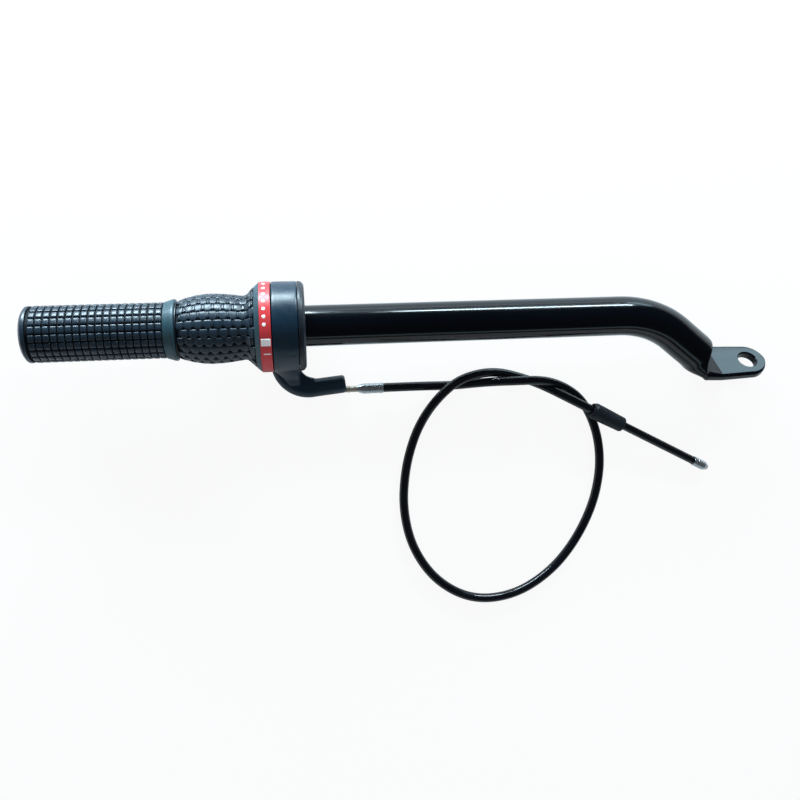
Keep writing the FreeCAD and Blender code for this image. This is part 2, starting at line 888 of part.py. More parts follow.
def make_cover_screws():
    """Self-tapping screws through the cover's rim into the housing's wall."""
    spot = housing_radius - size("housing_wall") / 2
    seat = housing_face - head_sink()
    count = int(sheet.get("cover_screw_count"))
    screws = []
    for index in range(count):
        turn = math.radians(sheet.get("cover_screw_start") + 360 * index / count)
        shank = document.addObject("Part::Cylinder", f"screw_shank_{index}")
        shank.setExpression("Radius", (size("cover_screw_diameter") / 2).text)
        shank.setExpression("Height", size("cover_screw_length").text)
        head = document.addObject("Part::Cylinder", f"screw_head_{index}")
        head.setExpression("Radius", (size("cover_screw_head") / 2).text)
        head.setExpression("Height", size("cover_screw_head_height").text)
        shift = FreeCAD.Vector(0, -spot.value * math.sin(turn), spot.value * math.cos(turn))
        place = standing_offset() + shift + X_AXIS * seat.value
        along = FreeCAD.Rotation(Z_AXIS, X_AXIS)
        head.Placement = FreeCAD.Placement(place, along)
        shank.Placement = FreeCAD.Placement(
            place - X_AXIS * sheet.get("cover_screw_length"), along
        )
        screws.append(joined(f"screw_{index}", [shank, head]))
    group = document.addObject("Part::Compound", "cover_screws")
    group.Label = "cover_screws"
    group.Links = screws
    node_objects["cover_screws"] = group


def make_disc_spring():
    """A coned spring washer gives the twist its hold; it seats on the cover."""
    body = new_body("disc_spring")
    seat = spigot_start
    free = drum_plane + size("drum_width") / 2 + size("spring_clearance")
    thick = size("disc_spring_thickness")
    inner = sleeve_radius
    outer = size("drum_neck_diameter") / 2 + size("drum_lip")
    revolve(body, "spring_cone", [
        (free, inner),
        (free + thick, inner),
        (seat, outer),
        (seat - thick, outer),
    ])


def make_set_screw():
    """Holds the cover's hub on the tube, from below."""
    body = new_body("set_screw")
    sketch = new_sketch(body, "set_screw_section", "XY_Plane")
    sketch.setExpression("AttachmentOffset.Base.z", (-tube_radius).text)
    draw_circle(sketch, size("set_screw_diameter") / 2, set_screw_station(), ZERO)
    pad = body.newObject("PartDesign::Pad", "set_screw_pad")
    pad.Profile = sketch
    pad.Reversed = True
    pad.setExpression("Length", size("set_screw_length").text)


# ---------------------------------------------------------------- cable pieces


def make_inner_wire():
    """The wire from the drum to the neck, through the arm's bore."""
    body = new_body("inner_wire")
    pipe(body, "wire_run", wire_radius, ZERO, wire_line(), "PartDesign::AdditivePipe")


def make_drum_wire():
    """The wire's first few degrees in the drum's groove, up to the nipple."""
    body = new_body("drum_wire")
    sketch = new_sketch(body, "wire_section")
    draw_circle(sketch, wire_radius, drum_plane, size("drum_pitch_radius"))
    arc = body.newObject("PartDesign::Revolution", "wire_arc")
    arc.Profile = sketch
    arc.ReferenceAxis = (sketch, ["H_Axis"])
    arc.Angle = DRUM_WIRE_TURN
    body.Placement.Rotation = FreeCAD.Rotation(X_AXIS, DRUM_WIRE_START - 90)


def make_cable_neck():
    """The bare metal tube that plugs into the arm's end."""
    body = new_body("cable_neck")
    station, offset = neck_axis()
    sketch = neck_sketch(body, "neck_section", station)
    draw_circle(sketch, size("neck_diameter") / 2, offset, guide_frame())
    draw_circle(sketch, size("tip_bore") / 2, offset, guide_frame())
    pad = body.newObject("PartDesign::Pad", "neck_pad")
    pad.Profile = sketch
    pad.setExpression("Length", size("neck_length").text)


def make_cable_ferrule():
    """The crimped ferrule: a short cone up from the neck, then a plain barrel."""
    body = new_body("cable_ferrule")
    station, offset = neck_axis()
    start = station + size("neck_length")
    sketch = new_sketch(body, "ferrule_section")
    sketch.setExpression("AttachmentOffset.Base.y", offset.text)
    sketch.setExpression("AttachmentOffset.Base.z", guide_frame().text)
    outer = size("ferrule_diameter") / 2
    draw_path(sketch, [
        (start, size("tip_bore") / 2),
        (start + size("ferrule_cone") + size("ferrule_length"), size("tip_bore") / 2),
        (start + size("ferrule_cone") + size("ferrule_length"), outer),
        (start + size("ferrule_cone"), outer),
        (start, size("neck_diameter") / 2),
    ])
    turned = body.newObject("PartDesign::Revolution", "ferrule_turned")
    turned.Profile = sketch
    turned.ReferenceAxis = (sketch, ["H_Axis"])
    turned.Angle = 360


def route_wire(points):
    """Straight runs joined by tangent arcs, each as large as its two runs allow."""
    vectors = [FreeCAD.Vector(*point) for point in points]
    edges = []
    here = vectors[0]
    radii = []
    for before, corner, after in zip(vectors, vectors[1:], vectors[2:]):
        inward = (corner - before).normalize()
        outward = (after - corner).normalize()
        half_turn = inward.getAngle(outward) / 2
        tangent = TURN_EASE * min((corner - before).Length, (after - corner).Length)
        radii.append(tangent / math.tan(half_turn))
        first = corner - inward * tangent
        last = corner + outward * tangent
        bisector = (outward - inward).normalize()
        centre = corner + bisector * (radii[-1] / math.cos(half_turn))
        middle = centre - bisector * radii[-1]
        edges.append(Part.LineSegment(here, first).toShape())
        edges.append(Part.Arc(first, middle, last).toShape())
        here = last
    edges.append(Part.LineSegment(here, vectors[-1]).toShape())
    print("cable arc radii", [round(radius) for radius in radii])
    return Part.Wire(edges)


def make_cable_sheath():
    path = route_wire(CABLE_ROUTE)
    radius = sheet.get("sheath_diameter") / 2
    solid = swept_rod(path, radius)
    print("cable sheath length", round(path.Length, 1), "volume over section x length",
          round(solid.Volume / (math.pi * radius ** 2 * path.Length), 4))
    new_feature("cable_sheath", solid, FreeCAD.Vector())


def tail_placement(distance):
    """A place on the cable's straight end, with Z running out towards its tip."""
    start = FreeCAD.Vector(*CABLE_ROUTE[-1])
    along = (FreeCAD.Vector(*TAIL_TIP) - start).normalize()
    return FreeCAD.Placement(start + along * distance, FreeCAD.Rotation(Z_AXIS, along))


def tail_length():
    return (FreeCAD.Vector(*TAIL_TIP) - FreeCAD.Vector(*CABLE_ROUTE[-1])).Length


def tail_cylinder(name, radius, length, distance):
    rod = document.addObject("Part::Cylinder", name)
    rod.setExpression("Radius", radius.text)
    rod.setExpression("Height", length.text)
    rod.Placement = tail_placement(distance)
    return rod


def tail_cone(name, first_radius, last_radius, length, distance):
    cone = document.addObject("Part::Cone", name)
    cone.setExpression("Radius1", first_radius.text)
    cone.setExpression("Radius2", last_radius.text)
    cone.setExpression("Height", length.text)
    cone.Placement = tail_placement(distance)
    return cone


def bored(label, blank, bore):
    cut = document.addObject("Part::Cut", label)
    cut.Label = label
    cut.Base = blank
    cut.Tool = bore
    node_objects[label] = cut


def joined(name, shapes):
    fuse = document.addObject("Part::MultiFuse", name)
    fuse.Shapes = shapes
    return fuse


def make_end_tube():
    """The straight end of the outer cable, in which the wire's end slides."""
    length = as_size(tail_length()) - size("tip_length")
    blank = tail_cylinder("end_tube_blank", size("end_tube_diameter") / 2, length, 0)
    bore = tail_cylinder("end_tube_hole", size("end_tube_bore") / 2, length, 0)
    bored("end_tube", blank, bore)


def make_tip_ferrule():
    start = tail_length() - sheet.get("tip_length")
    outer = size("tip_diameter") / 2
    barrel_length = size("tip_length") - size("tip_cone")
    barrel = tail_cylinder("tip_barrel", outer, barrel_length, start)
    nose = tail_cone(
        "tip_nose", outer, size("tip_bore"), size("tip_cone"), start + barrel_length.value
    )
    blank = joined("tip_blank", [barrel, nose])
    bore = tail_cylinder("tip_hole", size("tip_bore") / 2, size("tip_length") * 2, start - 1)
    bored("tip_ferrule", blank, bore)


def make_dust_boot():
    """A thick rubber sleeve that slides on the end tube."""
    nose = size("boot_length") * BOOT_NOSE
    shoulder = size("boot_diameter") / 2
    small = size("boot_end_diameter") / 2
    start = sheet.get("boot_length") * BOOT_NOSE
    front = tail_cone("boot_nose", shoulder - nose * BOOT_TAPER, shoulder, nose, start)
    sleeve = tail_cone(
        "boot_sleeve", shoulder, small, size("boot_length") - nose, start + nose.value
    )
    blank = joined("boot_blank", [front, sleeve])
    hole = size("end_tube_diameter") / 2 + size("running_clearance")
    bore = tail_cylinder("boot_hole", hole, size("boot_length") * 2, start - 1)
    bored("dust_boot", blank, bore)


def make_wire_end():
    """The wire's free end, flush with the tip at rest; it draws in as the grip is turned."""
    length = size("wire_end_length")
    rod = tail_cylinder("wire_end", wire_radius, length, tail_length() - length.value)
    rod.Label = "wire_end"
    node_objects["wire_end"] = rod


make_tiller_tube()
make_fixed_grip()
make_collar()
make_washer()
make_twist_barrel()
make_drum_nipple()
make_drum_wire()
make_twist_cover()
make_indicator_band()
make_housing()
make_housing_cover()
make_cover_screws()
make_disc_spring()
make_set_screw()
make_inner_wire()
make_cable_neck()
make_cable_ferrule()
make_cable_sheath()
make_end_tube()
make_tip_ferrule()
make_dust_boot()
make_wire_end()
document.recompute()

faults = [
    f"{item.Label}: {item.State}" for item in document.Objects
    if {"Invalid", "Error"} & set(item.State)
]
faults += [
    f"{label}: no valid shape" for label, item in node_objects.items()
    if item.Shape.isNull() or not item.Shape.isValid() or not item.Shape.Solids
]
if faults:
    raise RuntimeError("; ".join(faults))

os.makedirs("parts", exist_ok=True)
for label, item in node_objects.items():
    box = item.Shape.BoundBox
    print(f"{label:16s} volume {item.Shape.Volume:9.1f}  solids {len(item.Shape.Solids)}  "
          f"x {box.XMin:.1f}..{box.XMax:.1f}  y {box.YMin:.1f}..{box.YMax:.1f}  "
          f"z {box.ZMin:.2f}..{box.ZMax:.2f}")
    item.Shape.exportStep(f"parts/{label}.step")
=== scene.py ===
import math

import bmesh
import bpy
from mathutils import Matrix, Vector


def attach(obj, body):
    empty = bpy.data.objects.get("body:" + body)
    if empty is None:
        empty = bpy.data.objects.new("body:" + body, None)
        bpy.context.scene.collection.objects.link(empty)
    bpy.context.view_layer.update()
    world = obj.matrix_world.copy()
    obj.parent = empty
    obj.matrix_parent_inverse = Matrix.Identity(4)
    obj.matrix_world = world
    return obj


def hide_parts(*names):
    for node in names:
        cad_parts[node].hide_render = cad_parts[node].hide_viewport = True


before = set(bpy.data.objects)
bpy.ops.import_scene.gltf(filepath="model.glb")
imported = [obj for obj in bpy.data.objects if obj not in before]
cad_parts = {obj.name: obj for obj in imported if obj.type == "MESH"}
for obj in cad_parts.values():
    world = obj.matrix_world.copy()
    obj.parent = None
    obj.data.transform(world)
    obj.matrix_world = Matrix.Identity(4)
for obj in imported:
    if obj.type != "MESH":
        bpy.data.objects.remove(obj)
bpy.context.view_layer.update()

MM = 0.001
# The bar's axis runs along X through this point; stations along it are measured from there.
BAR = Vector((-66.0, 8.5, 24.0))
TUBE_RADIUS = 11.0
HOUSING_RADIUS = 24.0
RUNNING_RADIUS = 11.08
X_AXIS = Vector((1, 0, 0))


# ---------------------------------------------------------------- shapes

# Vertices this close together, in millimetres, are one vertex.
LATHE_WELD = 0.003
TUBE_WELD = 0.002


def mesh_object(name, vertices, faces, body, replaces=(), slot=None, smooth=True):
    """Makes a mesh from points in millimetres and lets it ride on a CAD body."""
    mesh = bpy.data.meshes.new(name)
    mesh.from_pydata([Vector(v) * MM for v in vertices], [], faces)
    mesh.validate()
    mesh.update()
    if smooth:
        mesh.shade_smooth()
    item = bpy.data.objects.new(name, mesh)
    bpy.context.collection.objects.link(item)
    if body:
        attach(item, body)
    if replaces:
        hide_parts(*replaces)
    return item


def outward(item, weld=None):
    """Turns every face outwards, once vertices within the weld distance in mm are merged."""
    tool = bmesh.new()
    tool.from_mesh(item.data)
    if weld:
        bmesh.ops.remove_doubles(tool, verts=tool.verts, dist=weld * MM)
    bmesh.ops.recalc_face_normals(tool, faces=tool.faces)
    tool.to_mesh(item.data)
    tool.free()
    return item


def between_rings(low, high, count):
    """The faces between two rings of vertices, given the number of each ring's first vertex."""
    faces = []
    for k in range(count):
        after = (k + 1) % count
        faces.append((low + k, low + after, high + after, high + k))
    return faces


def capped_rings(rows, count):
    """The faces of a closed tube made of rows of rings."""
    faces = []
    for row in range(rows - 1):
        faces += between_rings(row * count, (row + 1) * count, count)
    faces.append(tuple(range(count)))
    faces.append(tuple(range((rows - 1) * count, rows * count)))
    return faces


def weight_normals(item):
    """Keeps flat faces flat where they meet small roundings."""
    modifier = item.modifiers.new("face weighted normals", "WEIGHTED_NORMAL")
    modifier.keep_sharp = True
    modifier.weight = 80
    return item


def softened(profile, steps=5):
    """Rounds the corners of a closed half section; a point may carry its own radius."""
    points = []
    count = len(profile)
    for index, corner in enumerate(profile):
        here = Vector(corner[:2])
        radius = corner[2] if len(corner) > 2 else 0.25
        before = Vector(profile[index - 1][:2]) - here
        after = Vector(profile[(index + 1) % count][:2]) - here
        if radius == 0 or before.length < 1e-6 or after.length < 1e-6:
            points.append(tuple(here))
            continue
        half = before.angle(after) / 2
        reach = min(radius / math.tan(half), 0.45 * before.length, 0.45 * after.length)
        first = here + before.normalized() * reach
        last = here + after.normalized() * reach
        for step in range(steps + 1):
            t = step / steps
            points.append(tuple(first * (1 - t) ** 2 + here * 2 * t * (1 - t) + last * t ** 2))
    return points


def frame_along(direction):
    """Two cross directions for an axis: across (as level as it can be) and up."""
    along = Vector(direction).normalized()
    side = Vector((0, 1, 0)) if abs(along.z) < 0.9 else Vector((1, 0, 0))
    across = (side - along * side.dot(along)).normalized()
    return along, across, along.cross(across)


def lathe(name, profile, origin, direction, body, segments=160, **kind):
    """Turns a half section (distance, radius) in millimetres about an axis."""
    along, across, up = frame_along(direction)
    origin = Vector(origin)
    vertices = []
    for distance, radius in profile:
        for turn in range(segments):
            angle = 2 * math.pi * turn / segments
            spoke = across * math.cos(angle) + up * math.sin(angle)
            vertices.append(origin + along * distance + spoke * radius)
    rows = len(profile)
    faces = []
    for row in range(rows):
        faces += between_rings(row * segments, ((row + 1) % rows) * segments, segments)
    item = outward(mesh_object(name, vertices, faces, body, **kind), LATHE_WELD)
    return weight_normals(item)


def bar_lathe(name, profile, body, **kind):
    """Turns a rounded half section about the bar."""
    return lathe(name, softened(profile), BAR, X_AXIS, body, **kind)


def on_bar(station, radius, angle):
    """A point round the bar; the angle runs from the top towards +Y, in degrees."""
    turn = math.radians(angle)
    return BAR + Vector((station, radius * math.sin(turn), radius * math.cos(turn)))


def smooth_curve(points, steps=8):
    """A Catmull-Rom line through (station, radius) points."""
    line = []
    padded = [points[0]] + list(points) + [points[-1]]
    for index in range(1, len(padded) - 2):
        p0, p1, p2, p3 = (Vector(padded[index + k]) for k in (-1, 0, 1, 2))
        for step in range(steps):
            t = step / steps
            line.append(tuple(0.5 * (
                2 * p1 + (p2 - p0) * t + (2 * p0 - 5 * p1 + 4 * p2 - p3) * t ** 2
                + (3 * p1 - p0 - 3 * p2 + p3) * t ** 3
            )))
    line.append(tuple(points[-1]))
    return line


class Skin:
    """A turned surface that raised pads are set on, measured along its outline."""

    def __init__(self, outline):
        self.points = [Vector(point) for point in outline]
        self.marks = [0.0]
        for first, last in zip(self.points, self.points[1:]):
            self.marks.append(self.marks[-1] + (last - first).length)
        self.length = self.marks[-1]

    def at(self, run, angle, height):
        run = min(max(run, 0.0), self.length - 1e-6)
        index = max(k for k, mark in enumerate(self.marks[:-1]) if mark <= run)
        first, last = self.points[index], self.points[index + 1]
        part = (run - self.marks[index]) / (last - first).length
        spot = first.lerp(last, part)
        slope = (last - first).normalized()
        spot = spot + Vector((-slope.y, slope.x)) * height
        return on_bar(spot.x, spot.y, angle)


def rounded_outline(half_width, half_height, corner, steps=3):
    """A rounded block outline, with a point in the middle of each side."""
    points = []
    for sx, sy, start in ((1, 1, 0), (-1, 1, 90), (-1, -1, 180), (1, -1, 270)):
        for step in range(steps + 1):
            angle = math.radians(start + 90 * step / steps)
            x = sx * (half_width - corner) + corner * math.cos(angle)
            y = sy * (half_height - corner) + corner * math.sin(angle)
            points.append((x, y))
        points.append((0.0, sy * half_height) if sx * sy > 0 else (sx * half_width, 0.0))
    return points


def pad_field(name, skin, cells, outline, levels, body, **kind):
    """Raised pads on a skin: cells are (run, angle, angle per mm), levels (share, height)."""
    vertices, faces = [], []
    count = len(outline)
    for run, angle, per_mm in cells:
        base = len(vertices)
        for shrink, height in levels:
            for x, y in outline:
                vertices.append(skin.at(run + x * shrink, angle + y * shrink * per_mm, height))
        vertices.append(skin.at(run, angle, levels[-1][1]))
        top = len(vertices) - 1
        for level in range(len(levels) - 1):
            faces += between_rings(base + level * count, base + (level + 1) * count, count)
        last = base + (len(levels) - 1) * count
        for k in range(count):
            faces.append((last + k, last + (k + 1) % count, top))
    return outward(mesh_object(name, vertices, faces, body, **kind))


# ---------------------------------------------------------------- materials


def new_material(name):
    """A material with its node tree, its shader and the object space position."""
    material = bpy.data.materials.new(name)
    material.use_nodes = True
    nodes, links = material.node_tree.nodes, material.node_tree.links
    shader = nodes["Principled BSDF"]
    place = nodes.new("ShaderNodeTexCoord")
    return material, nodes, links, shader, place.outputs["Object"]


def noise(nodes, links, place, scale, detail=3.0, stretch=None):
    """A noise texture in object space, which can be stretched along an axis."""
    if stretch:
        mapping = nodes.new("ShaderNodeMapping")
        mapping.inputs["Scale"].default_value = stretch
        links.new(place, mapping.inputs["Vector"])
        place = mapping.outputs["Vector"]
    texture = nodes.new("ShaderNodeTexNoise")
    texture.inputs["Scale"].default_value = scale
    texture.inputs["Detail"].default_value = detail
    links.new(place, texture.inputs["Vector"])
    return texture.outputs["Fac"]


def ramp(nodes, links, factor, stops):
    """A colour ramp; each stop is (position, grey or colour)."""
    item = nodes.new("ShaderNodeValToRGB")
    elements = item.color_ramp.elements
    while len(elements) < len(stops):
        elements.new(0.5)
    for element, (position, colour) in zip(elements, stops):
        element.position = position
        if isinstance(colour, float):
            colour = (colour, colour, colour)
        element.color = (*colour, 1)
    links.new(factor, item.inputs["Fac"])
    return item.outputs["Color"]


def finish_material(name, dark, light, rough, bump, scale=900.0, metallic=0.0, coat=0.0,
                    coat_rough=0.1, specular=0.5, patch=60.0, stretch=None):
    """A surface with colour patches, uneven roughness and a fine grain."""
    material, nodes, links, shader, place = new_material(name)
    patches = noise(nodes, links, place, patch, 4.0, stretch)
    links.new(
        ramp(nodes, links, patches, [(0.35, dark), (0.65, light)]), shader.inputs["Base Color"],
    )
    wear = noise(nodes, links, place, patch * 3, 5.0, stretch)
    links.new(
        ramp(nodes, links, wear, [(0.3, rough[0]), (0.7, rough[1])]),
        shader.inputs["Roughness"],
    )
    grain = noise(nodes, links, place, scale, 2.0, stretch)
    height = nodes.new("ShaderNodeBump")
    height.inputs["Strength"].default_value = 1.0
    height.inputs["Distance"].default_value = bump * MM
    links.new(grain, height.inputs["Height"])
    links.new(height.outputs["Normal"], shader.inputs["Normal"])
    shader.inputs["Metallic"].default_value = metallic
    shader.inputs["Coat Weight"].default_value = coat
    shader.inputs["Coat Roughness"].default_value = coat_rough
    shader.inputs["Specular IOR Level"].default_value = specular
    return material


MATERIALS = {
    "rubber_block": finish_material(
        "rubber_block", (0.006, 0.016, 0.028), (0.011, 0.025, 0.042), (0.3, 0.42), 0.03, 1500,
        specular=0.6),
    # The floor rubber is the same rubber as the blocks, coloured far darker as painted shade in the
    # gaps between the blocks and scales.
    "rubber_floor_painted_shade": finish_material(
        "rubber_floor_painted_shade", (0.001, 0.003, 0.006), (0.002, 0.006, 0.011), (0.55, 0.75), 0.03, 1500,
        specular=0.25),
    "collar_plastic": finish_material(
        "collar_plastic", (0.014, 0.046, 0.062), (0.022, 0.062, 0.082), (0.34, 0.48), 0.012, 1500,
        stretch=(8, 1, 1)),
    "housing_plastic": finish_material(
        "housing_plastic", (0.0015, 0.0145, 0.030), (0.003, 0.020, 0.040), (0.26, 0.4), 0.014,
        1800, patch=40),
    "cover_plastic": finish_material(
        "cover_plastic", (0.003, 0.006, 0.012), (0.005, 0.010, 0.018), (0.3, 0.45), 0.01, 1800),
    "gloss_black": finish_material(
        "gloss_black", (0.0004, 0.001, 0.0022), (0.001, 0.002, 0.004), (0.1, 0.18), 0.006, 500,
        specular=0.28, coat=0.22, coat_rough=0.06, stretch=(0.12, 1, 1)),
    "red_band": finish_material(
        "red_band", (0.47, 0.024, 0.03), (0.54, 0.034, 0.04), (0.3, 0.42), 0.01, 1200),
    "white_print": finish_material(
        "white_print", (0.74, 0.72, 0.72), (0.84, 0.82, 0.82), (0.45, 0.6), 0.01, 1500),
    "brass": finish_material(
        "brass", (0.44, 0.4, 0.34), (0.56, 0.51, 0.44), (0.28, 0.42), 0.006, 900,
        metallic=0.7, stretch=(4, 1, 1)),
    "silver": finish_material(
        "silver", (0.5, 0.54, 0.57), (0.68, 0.72, 0.75), (0.22, 0.36), 0.006, 900,
        metallic=0.9, stretch=(4, 1, 1)),
    "zinc": finish_material(
        "zinc", (0.42, 0.44, 0.46), (0.56, 0.58, 0.6), (0.25, 0.4), 0.006, 900, metallic=1.0),
    "cable_jacket": finish_material(
        "cable_jacket", (0.0015, 0.002, 0.004), (0.003, 0.004, 0.007), (0.14, 0.24), 0.01, 700,
        coat=0.3, coat_rough=0.1),
    "boot_rubber": finish_material(
        "boot_rubber", (0.004, 0.009, 0.015), (0.007, 0.013, 0.021), (0.42, 0.56), 0.03, 1400,
        specular=0.4),
}


def paint(item, *names):
    """Gives a piece its materials."""
    item.data.materials.clear()
    for name in names:
        item.data.materials.append(MATERIALS[name])
    return item


# ---------------------------------------------------------------- tube with its flattened lug

TUBE_HEAD = -137.3
BEND_START = 176.0
BEND_RADIUS = 58.0
BEND_ANGLE = math.radians(38.0)
BEND_DIP = math.radians(25.0)
TUBE_TAIL = 33.6
# The tube is pressed flat over FOLD, up to a crease set back from the lug's start, and the hollow
# in its top runs out over SCOOP.
FOLD = 13.0
FOLD_SETBACK = 5.0
FOLD_SHARE = 0.84
FOLD_POWER = 1.2
SCOOP = 7.5
LUG_TILT = math.radians(43.5)
LUG_REACH = 23.2
LUG_WIDE = 12.0
LUG_TIP = 11.0
LUG_HALF = 2.6
HOLE_RADIUS = 5.25
HOLE_FLARE = 0.7
HOLE_CUT = 8.0
# How round a section's edge is, as a share of its half height: the tube's and the lug's.
TUBE_ROUND = 0.98
LUG_ROUND = 0.64
# How far a section's sides lean along X, at the crease and where the flat face starts.
CREASE_LEAN = 1.1
FACE_LEAN = -2.1
# The lug's last two sections, as shares of its half height, and the least half width they have.
TIP_SHOULDER = 0.93
LEAST_WIDTH = 0.05
SHARP_EDGE = math.radians(40)


def block_section(half_width, half_height, corner, steps=12):
    """A rounded rectangle, in order round its edge."""
    points = []
    for sx, sy, start in ((1, 1, 0), (-1, 1, 90), (-1, -1, 180), (1, -1, 270)):
        for step in range(steps):
            angle = math.radians(start + 90 * step / (steps - 1))
            points.append((
                sx * (half_width - corner) + corner * math.cos(angle),
                sy * (half_height - corner) + corner * math.sin(angle),
            ))
    return points


def ease(t):
    """A smooth step from 0 to 1."""
    t = min(max(t, 0.0), 1.0)
    return t * t * (3 - 2 * t)


def toward(vector, guide):
    """The vector or its opposite, whichever points the guide's way."""
    return -vector if vector.dot(guide) < 0 else vector


def straight_and_bend(start, down):
    """The round sections of the straight tube and its bend."""
    full = (TUBE_RADIUS, TUBE_RADIUS, TUBE_RADIUS, TUBE_RADIUS, 0.0, 0.0)
    stations = (
        TUBE_HEAD, TUBE_HEAD + 0.8, TUBE_HEAD + 60, -60.0, -3.4, 0.0, 40.0, 90.0, 140.0, BEND_START,
    )
    sections = [(X_AXIS * station, X_AXIS, *full) for station in stations]
    steps = 28
    for step in range(1, steps + 1):
        turn = BEND_ANGLE * step / steps
        centre = start + X_AXIS * BEND_RADIUS * math.sin(turn)
        centre = centre + down * BEND_RADIUS * (1 - math.cos(turn))
        sections.append((centre, X_AXIS * math.cos(turn) + down * math.sin(turn), *full))
    return sections


def fold_sections(pinch, crease):
    """The tube pressed flat: its width comes first, and its top dips into a scoop after it."""
    sections = []
    steps = 26
    for step in range(1, steps + 1):
        run = (FOLD + SCOOP) * step / steps
        pressed = min(run / FOLD, 1.0)
        past = max(run - FOLD, 0.0)
        closed, opened = ease(pressed), ease(past / SCOOP)
        centre = pinch.lerp(crease, pressed) + X_AXIS * past
        half_width = TUBE_RADIUS + (LUG_WIDE - TUBE_RADIUS) * closed
        flattening = FOLD_SHARE * closed ** FOLD_POWER + (1 - FOLD_SHARE) * opened
        over = TUBE_RADIUS + (LUG_HALF - TUBE_RADIUS) * flattening
        under = TUBE_RADIUS + (LUG_HALF - TUBE_RADIUS) * closed ** FOLD_POWER
        corner = min(over, under) * (TUBE_ROUND + (LUG_ROUND - TUBE_ROUND) * opened)
        lean = CREASE_LEAN * closed + (FACE_LEAN - CREASE_LEAN) * opened
        sections.append((centre, None, half_width, over, under, corner, closed, lean))
    return sections


def lug_sections(flat, hole_centre):
    """The flat plate up to its pivot hole, then its round tip."""
    sections = []
    edge = LUG_HALF * LUG_ROUND
    steps = 10
    for step in range(1, steps + 1):
        t = step / steps
        half_width = LUG_WIDE + (LUG_TIP - LUG_WIDE) * t
        lean = FACE_LEAN * (1 - ease(t))
        sections.append(
            (flat.lerp(hole_centre, t), None, half_width, LUG_HALF, LUG_HALF, edge, 1.0, lean)
        )
    steps = 18
    for step in range(1, steps + 1):
        angle = math.radians(90 * step / steps)
        centre = hole_centre + X_AXIS * (LUG_TIP * math.sin(angle))
        half_width = max(LUG_TIP * math.cos(angle), LEAST_WIDTH)
        half_height = LUG_HALF * {steps: LUG_ROUND, steps - 1: TIP_SHOULDER}.get(step, 1)
        corner = min(edge, half_width * TUBE_ROUND, half_height * TUBE_ROUND)
        sections.append((centre, None, half_width, half_height, half_height, corner, 1.0, 0.0))
    return sections


def cut_pivot_hole(tube, hole_centre, normal):
    """Cuts the hole with a turned tool that eases its rims."""
    wide = HOLE_RADIUS + HOLE_FLARE + HOLE_CUT - LUG_HALF
    land = LUG_HALF - HOLE_FLARE
    cutter = lathe("hole_cutter", softened([
        (-HOLE_CUT, 0.0, 0), (-HOLE_CUT, wide, 0), (-land, HOLE_RADIUS, 1.2),
        (land, HOLE_RADIUS, 1.2), (HOLE_CUT, wide, 0), (HOLE_CUT, 0.0, 0),
    ]), BAR + hole_centre, normal, None, segments=96)
    cutter.modifiers.clear()
    hole = tube.modifiers.new("pivot hole", "BOOLEAN")
    hole.operation = "DIFFERENCE"
    hole.solver = "EXACT"
    hole.object = cutter
    settle(tube)
    bpy.data.objects.remove(cutter)


def make_tube():
    """The bar from its head to the lug's tip, as one skin."""
    down = Vector((0, -math.cos(BEND_DIP), -math.sin(BEND_DIP)))
    start = X_AXIS * BEND_START
    heading = X_AXIS * math.cos(BEND_ANGLE) + down * math.sin(BEND_ANGLE)
    arc_end = start + X_AXIS * BEND_RADIUS * math.sin(BEND_ANGLE)
    arc_end += down * BEND_RADIUS * (1 - math.cos(BEND_ANGLE))
    end = arc_end + heading * TUBE_TAIL
    across = Vector((0, math.cos(LUG_TILT), -math.sin(LUG_TILT)))
    normal = Vector((0, math.sin(LUG_TILT), math.cos(LUG_TILT)))
    square = (across - heading * across.dot(heading)).normalized()
    short = toward(heading.cross(square), normal)
    pinch = end - heading * FOLD
    crease = end - X_AXIS * FOLD_SETBACK
    hole_centre = end + X_AXIS * LUG_REACH

    sections = straight_and_bend(start, down)
    sections.append(
        (pinch - heading * 2, heading, TUBE_RADIUS, TUBE_RADIUS, TUBE_RADIUS, TUBE_RADIUS, 0.0, 0.0)
    )
    sections += fold_sections(pinch, crease)
    sections += lug_sections(crease + X_AXIS * SCOOP, hole_centre)
    vertices = []
    for centre, way, half_width, over, under, corner, flatness, lean in sections:
        if way is not None:
            wide = (square - way * square.dot(way)).normalized()
            tall = toward(way.cross(wide), normal)
        else:
            wide = square.lerp(across, flatness).normalized()
            tall = short.lerp(normal, flatness).normalized()
        lift = (over - under) / 2
        for x, y in block_section(half_width, (over + under) / 2, corner):
            shift = X_AXIS * (lean * x / half_width)
            vertices.append(BAR + centre + wide * x + tall * (y + lift) + shift)
    faces = capped_rings(len(sections), len(vertices) // len(sections))
    tube = mesh_object("tube_skin", vertices, faces, "frame",
                       replaces=["tiller_tube", "pivot_lug"], slot="gloss_black_paint")
    outward(tube, TUBE_WELD)
    cut_pivot_hole(tube, hole_centre, normal)
    tube.data.shade_smooth()
    tube.data.set_sharp_from_angle(angle=SHARP_EDGE)
    weight_normals(tube)
    paint(tube, "gloss_black")


def settle(item):
    """Bakes an object's modifiers into its mesh."""
    graph = bpy.context.evaluated_depsgraph_get()
    mesh = bpy.data.meshes.new_from_object(item.evaluated_get(graph))
    item.modifiers.clear()
    item.data = mesh


# ---------------------------------------------------------------- hand grip


GRIP_END = -142.7
COLLAR_START = -72.3
COLLAR_END = -66.5
WASHER_END = -65.7
BEAD_WIDTH = 3.4


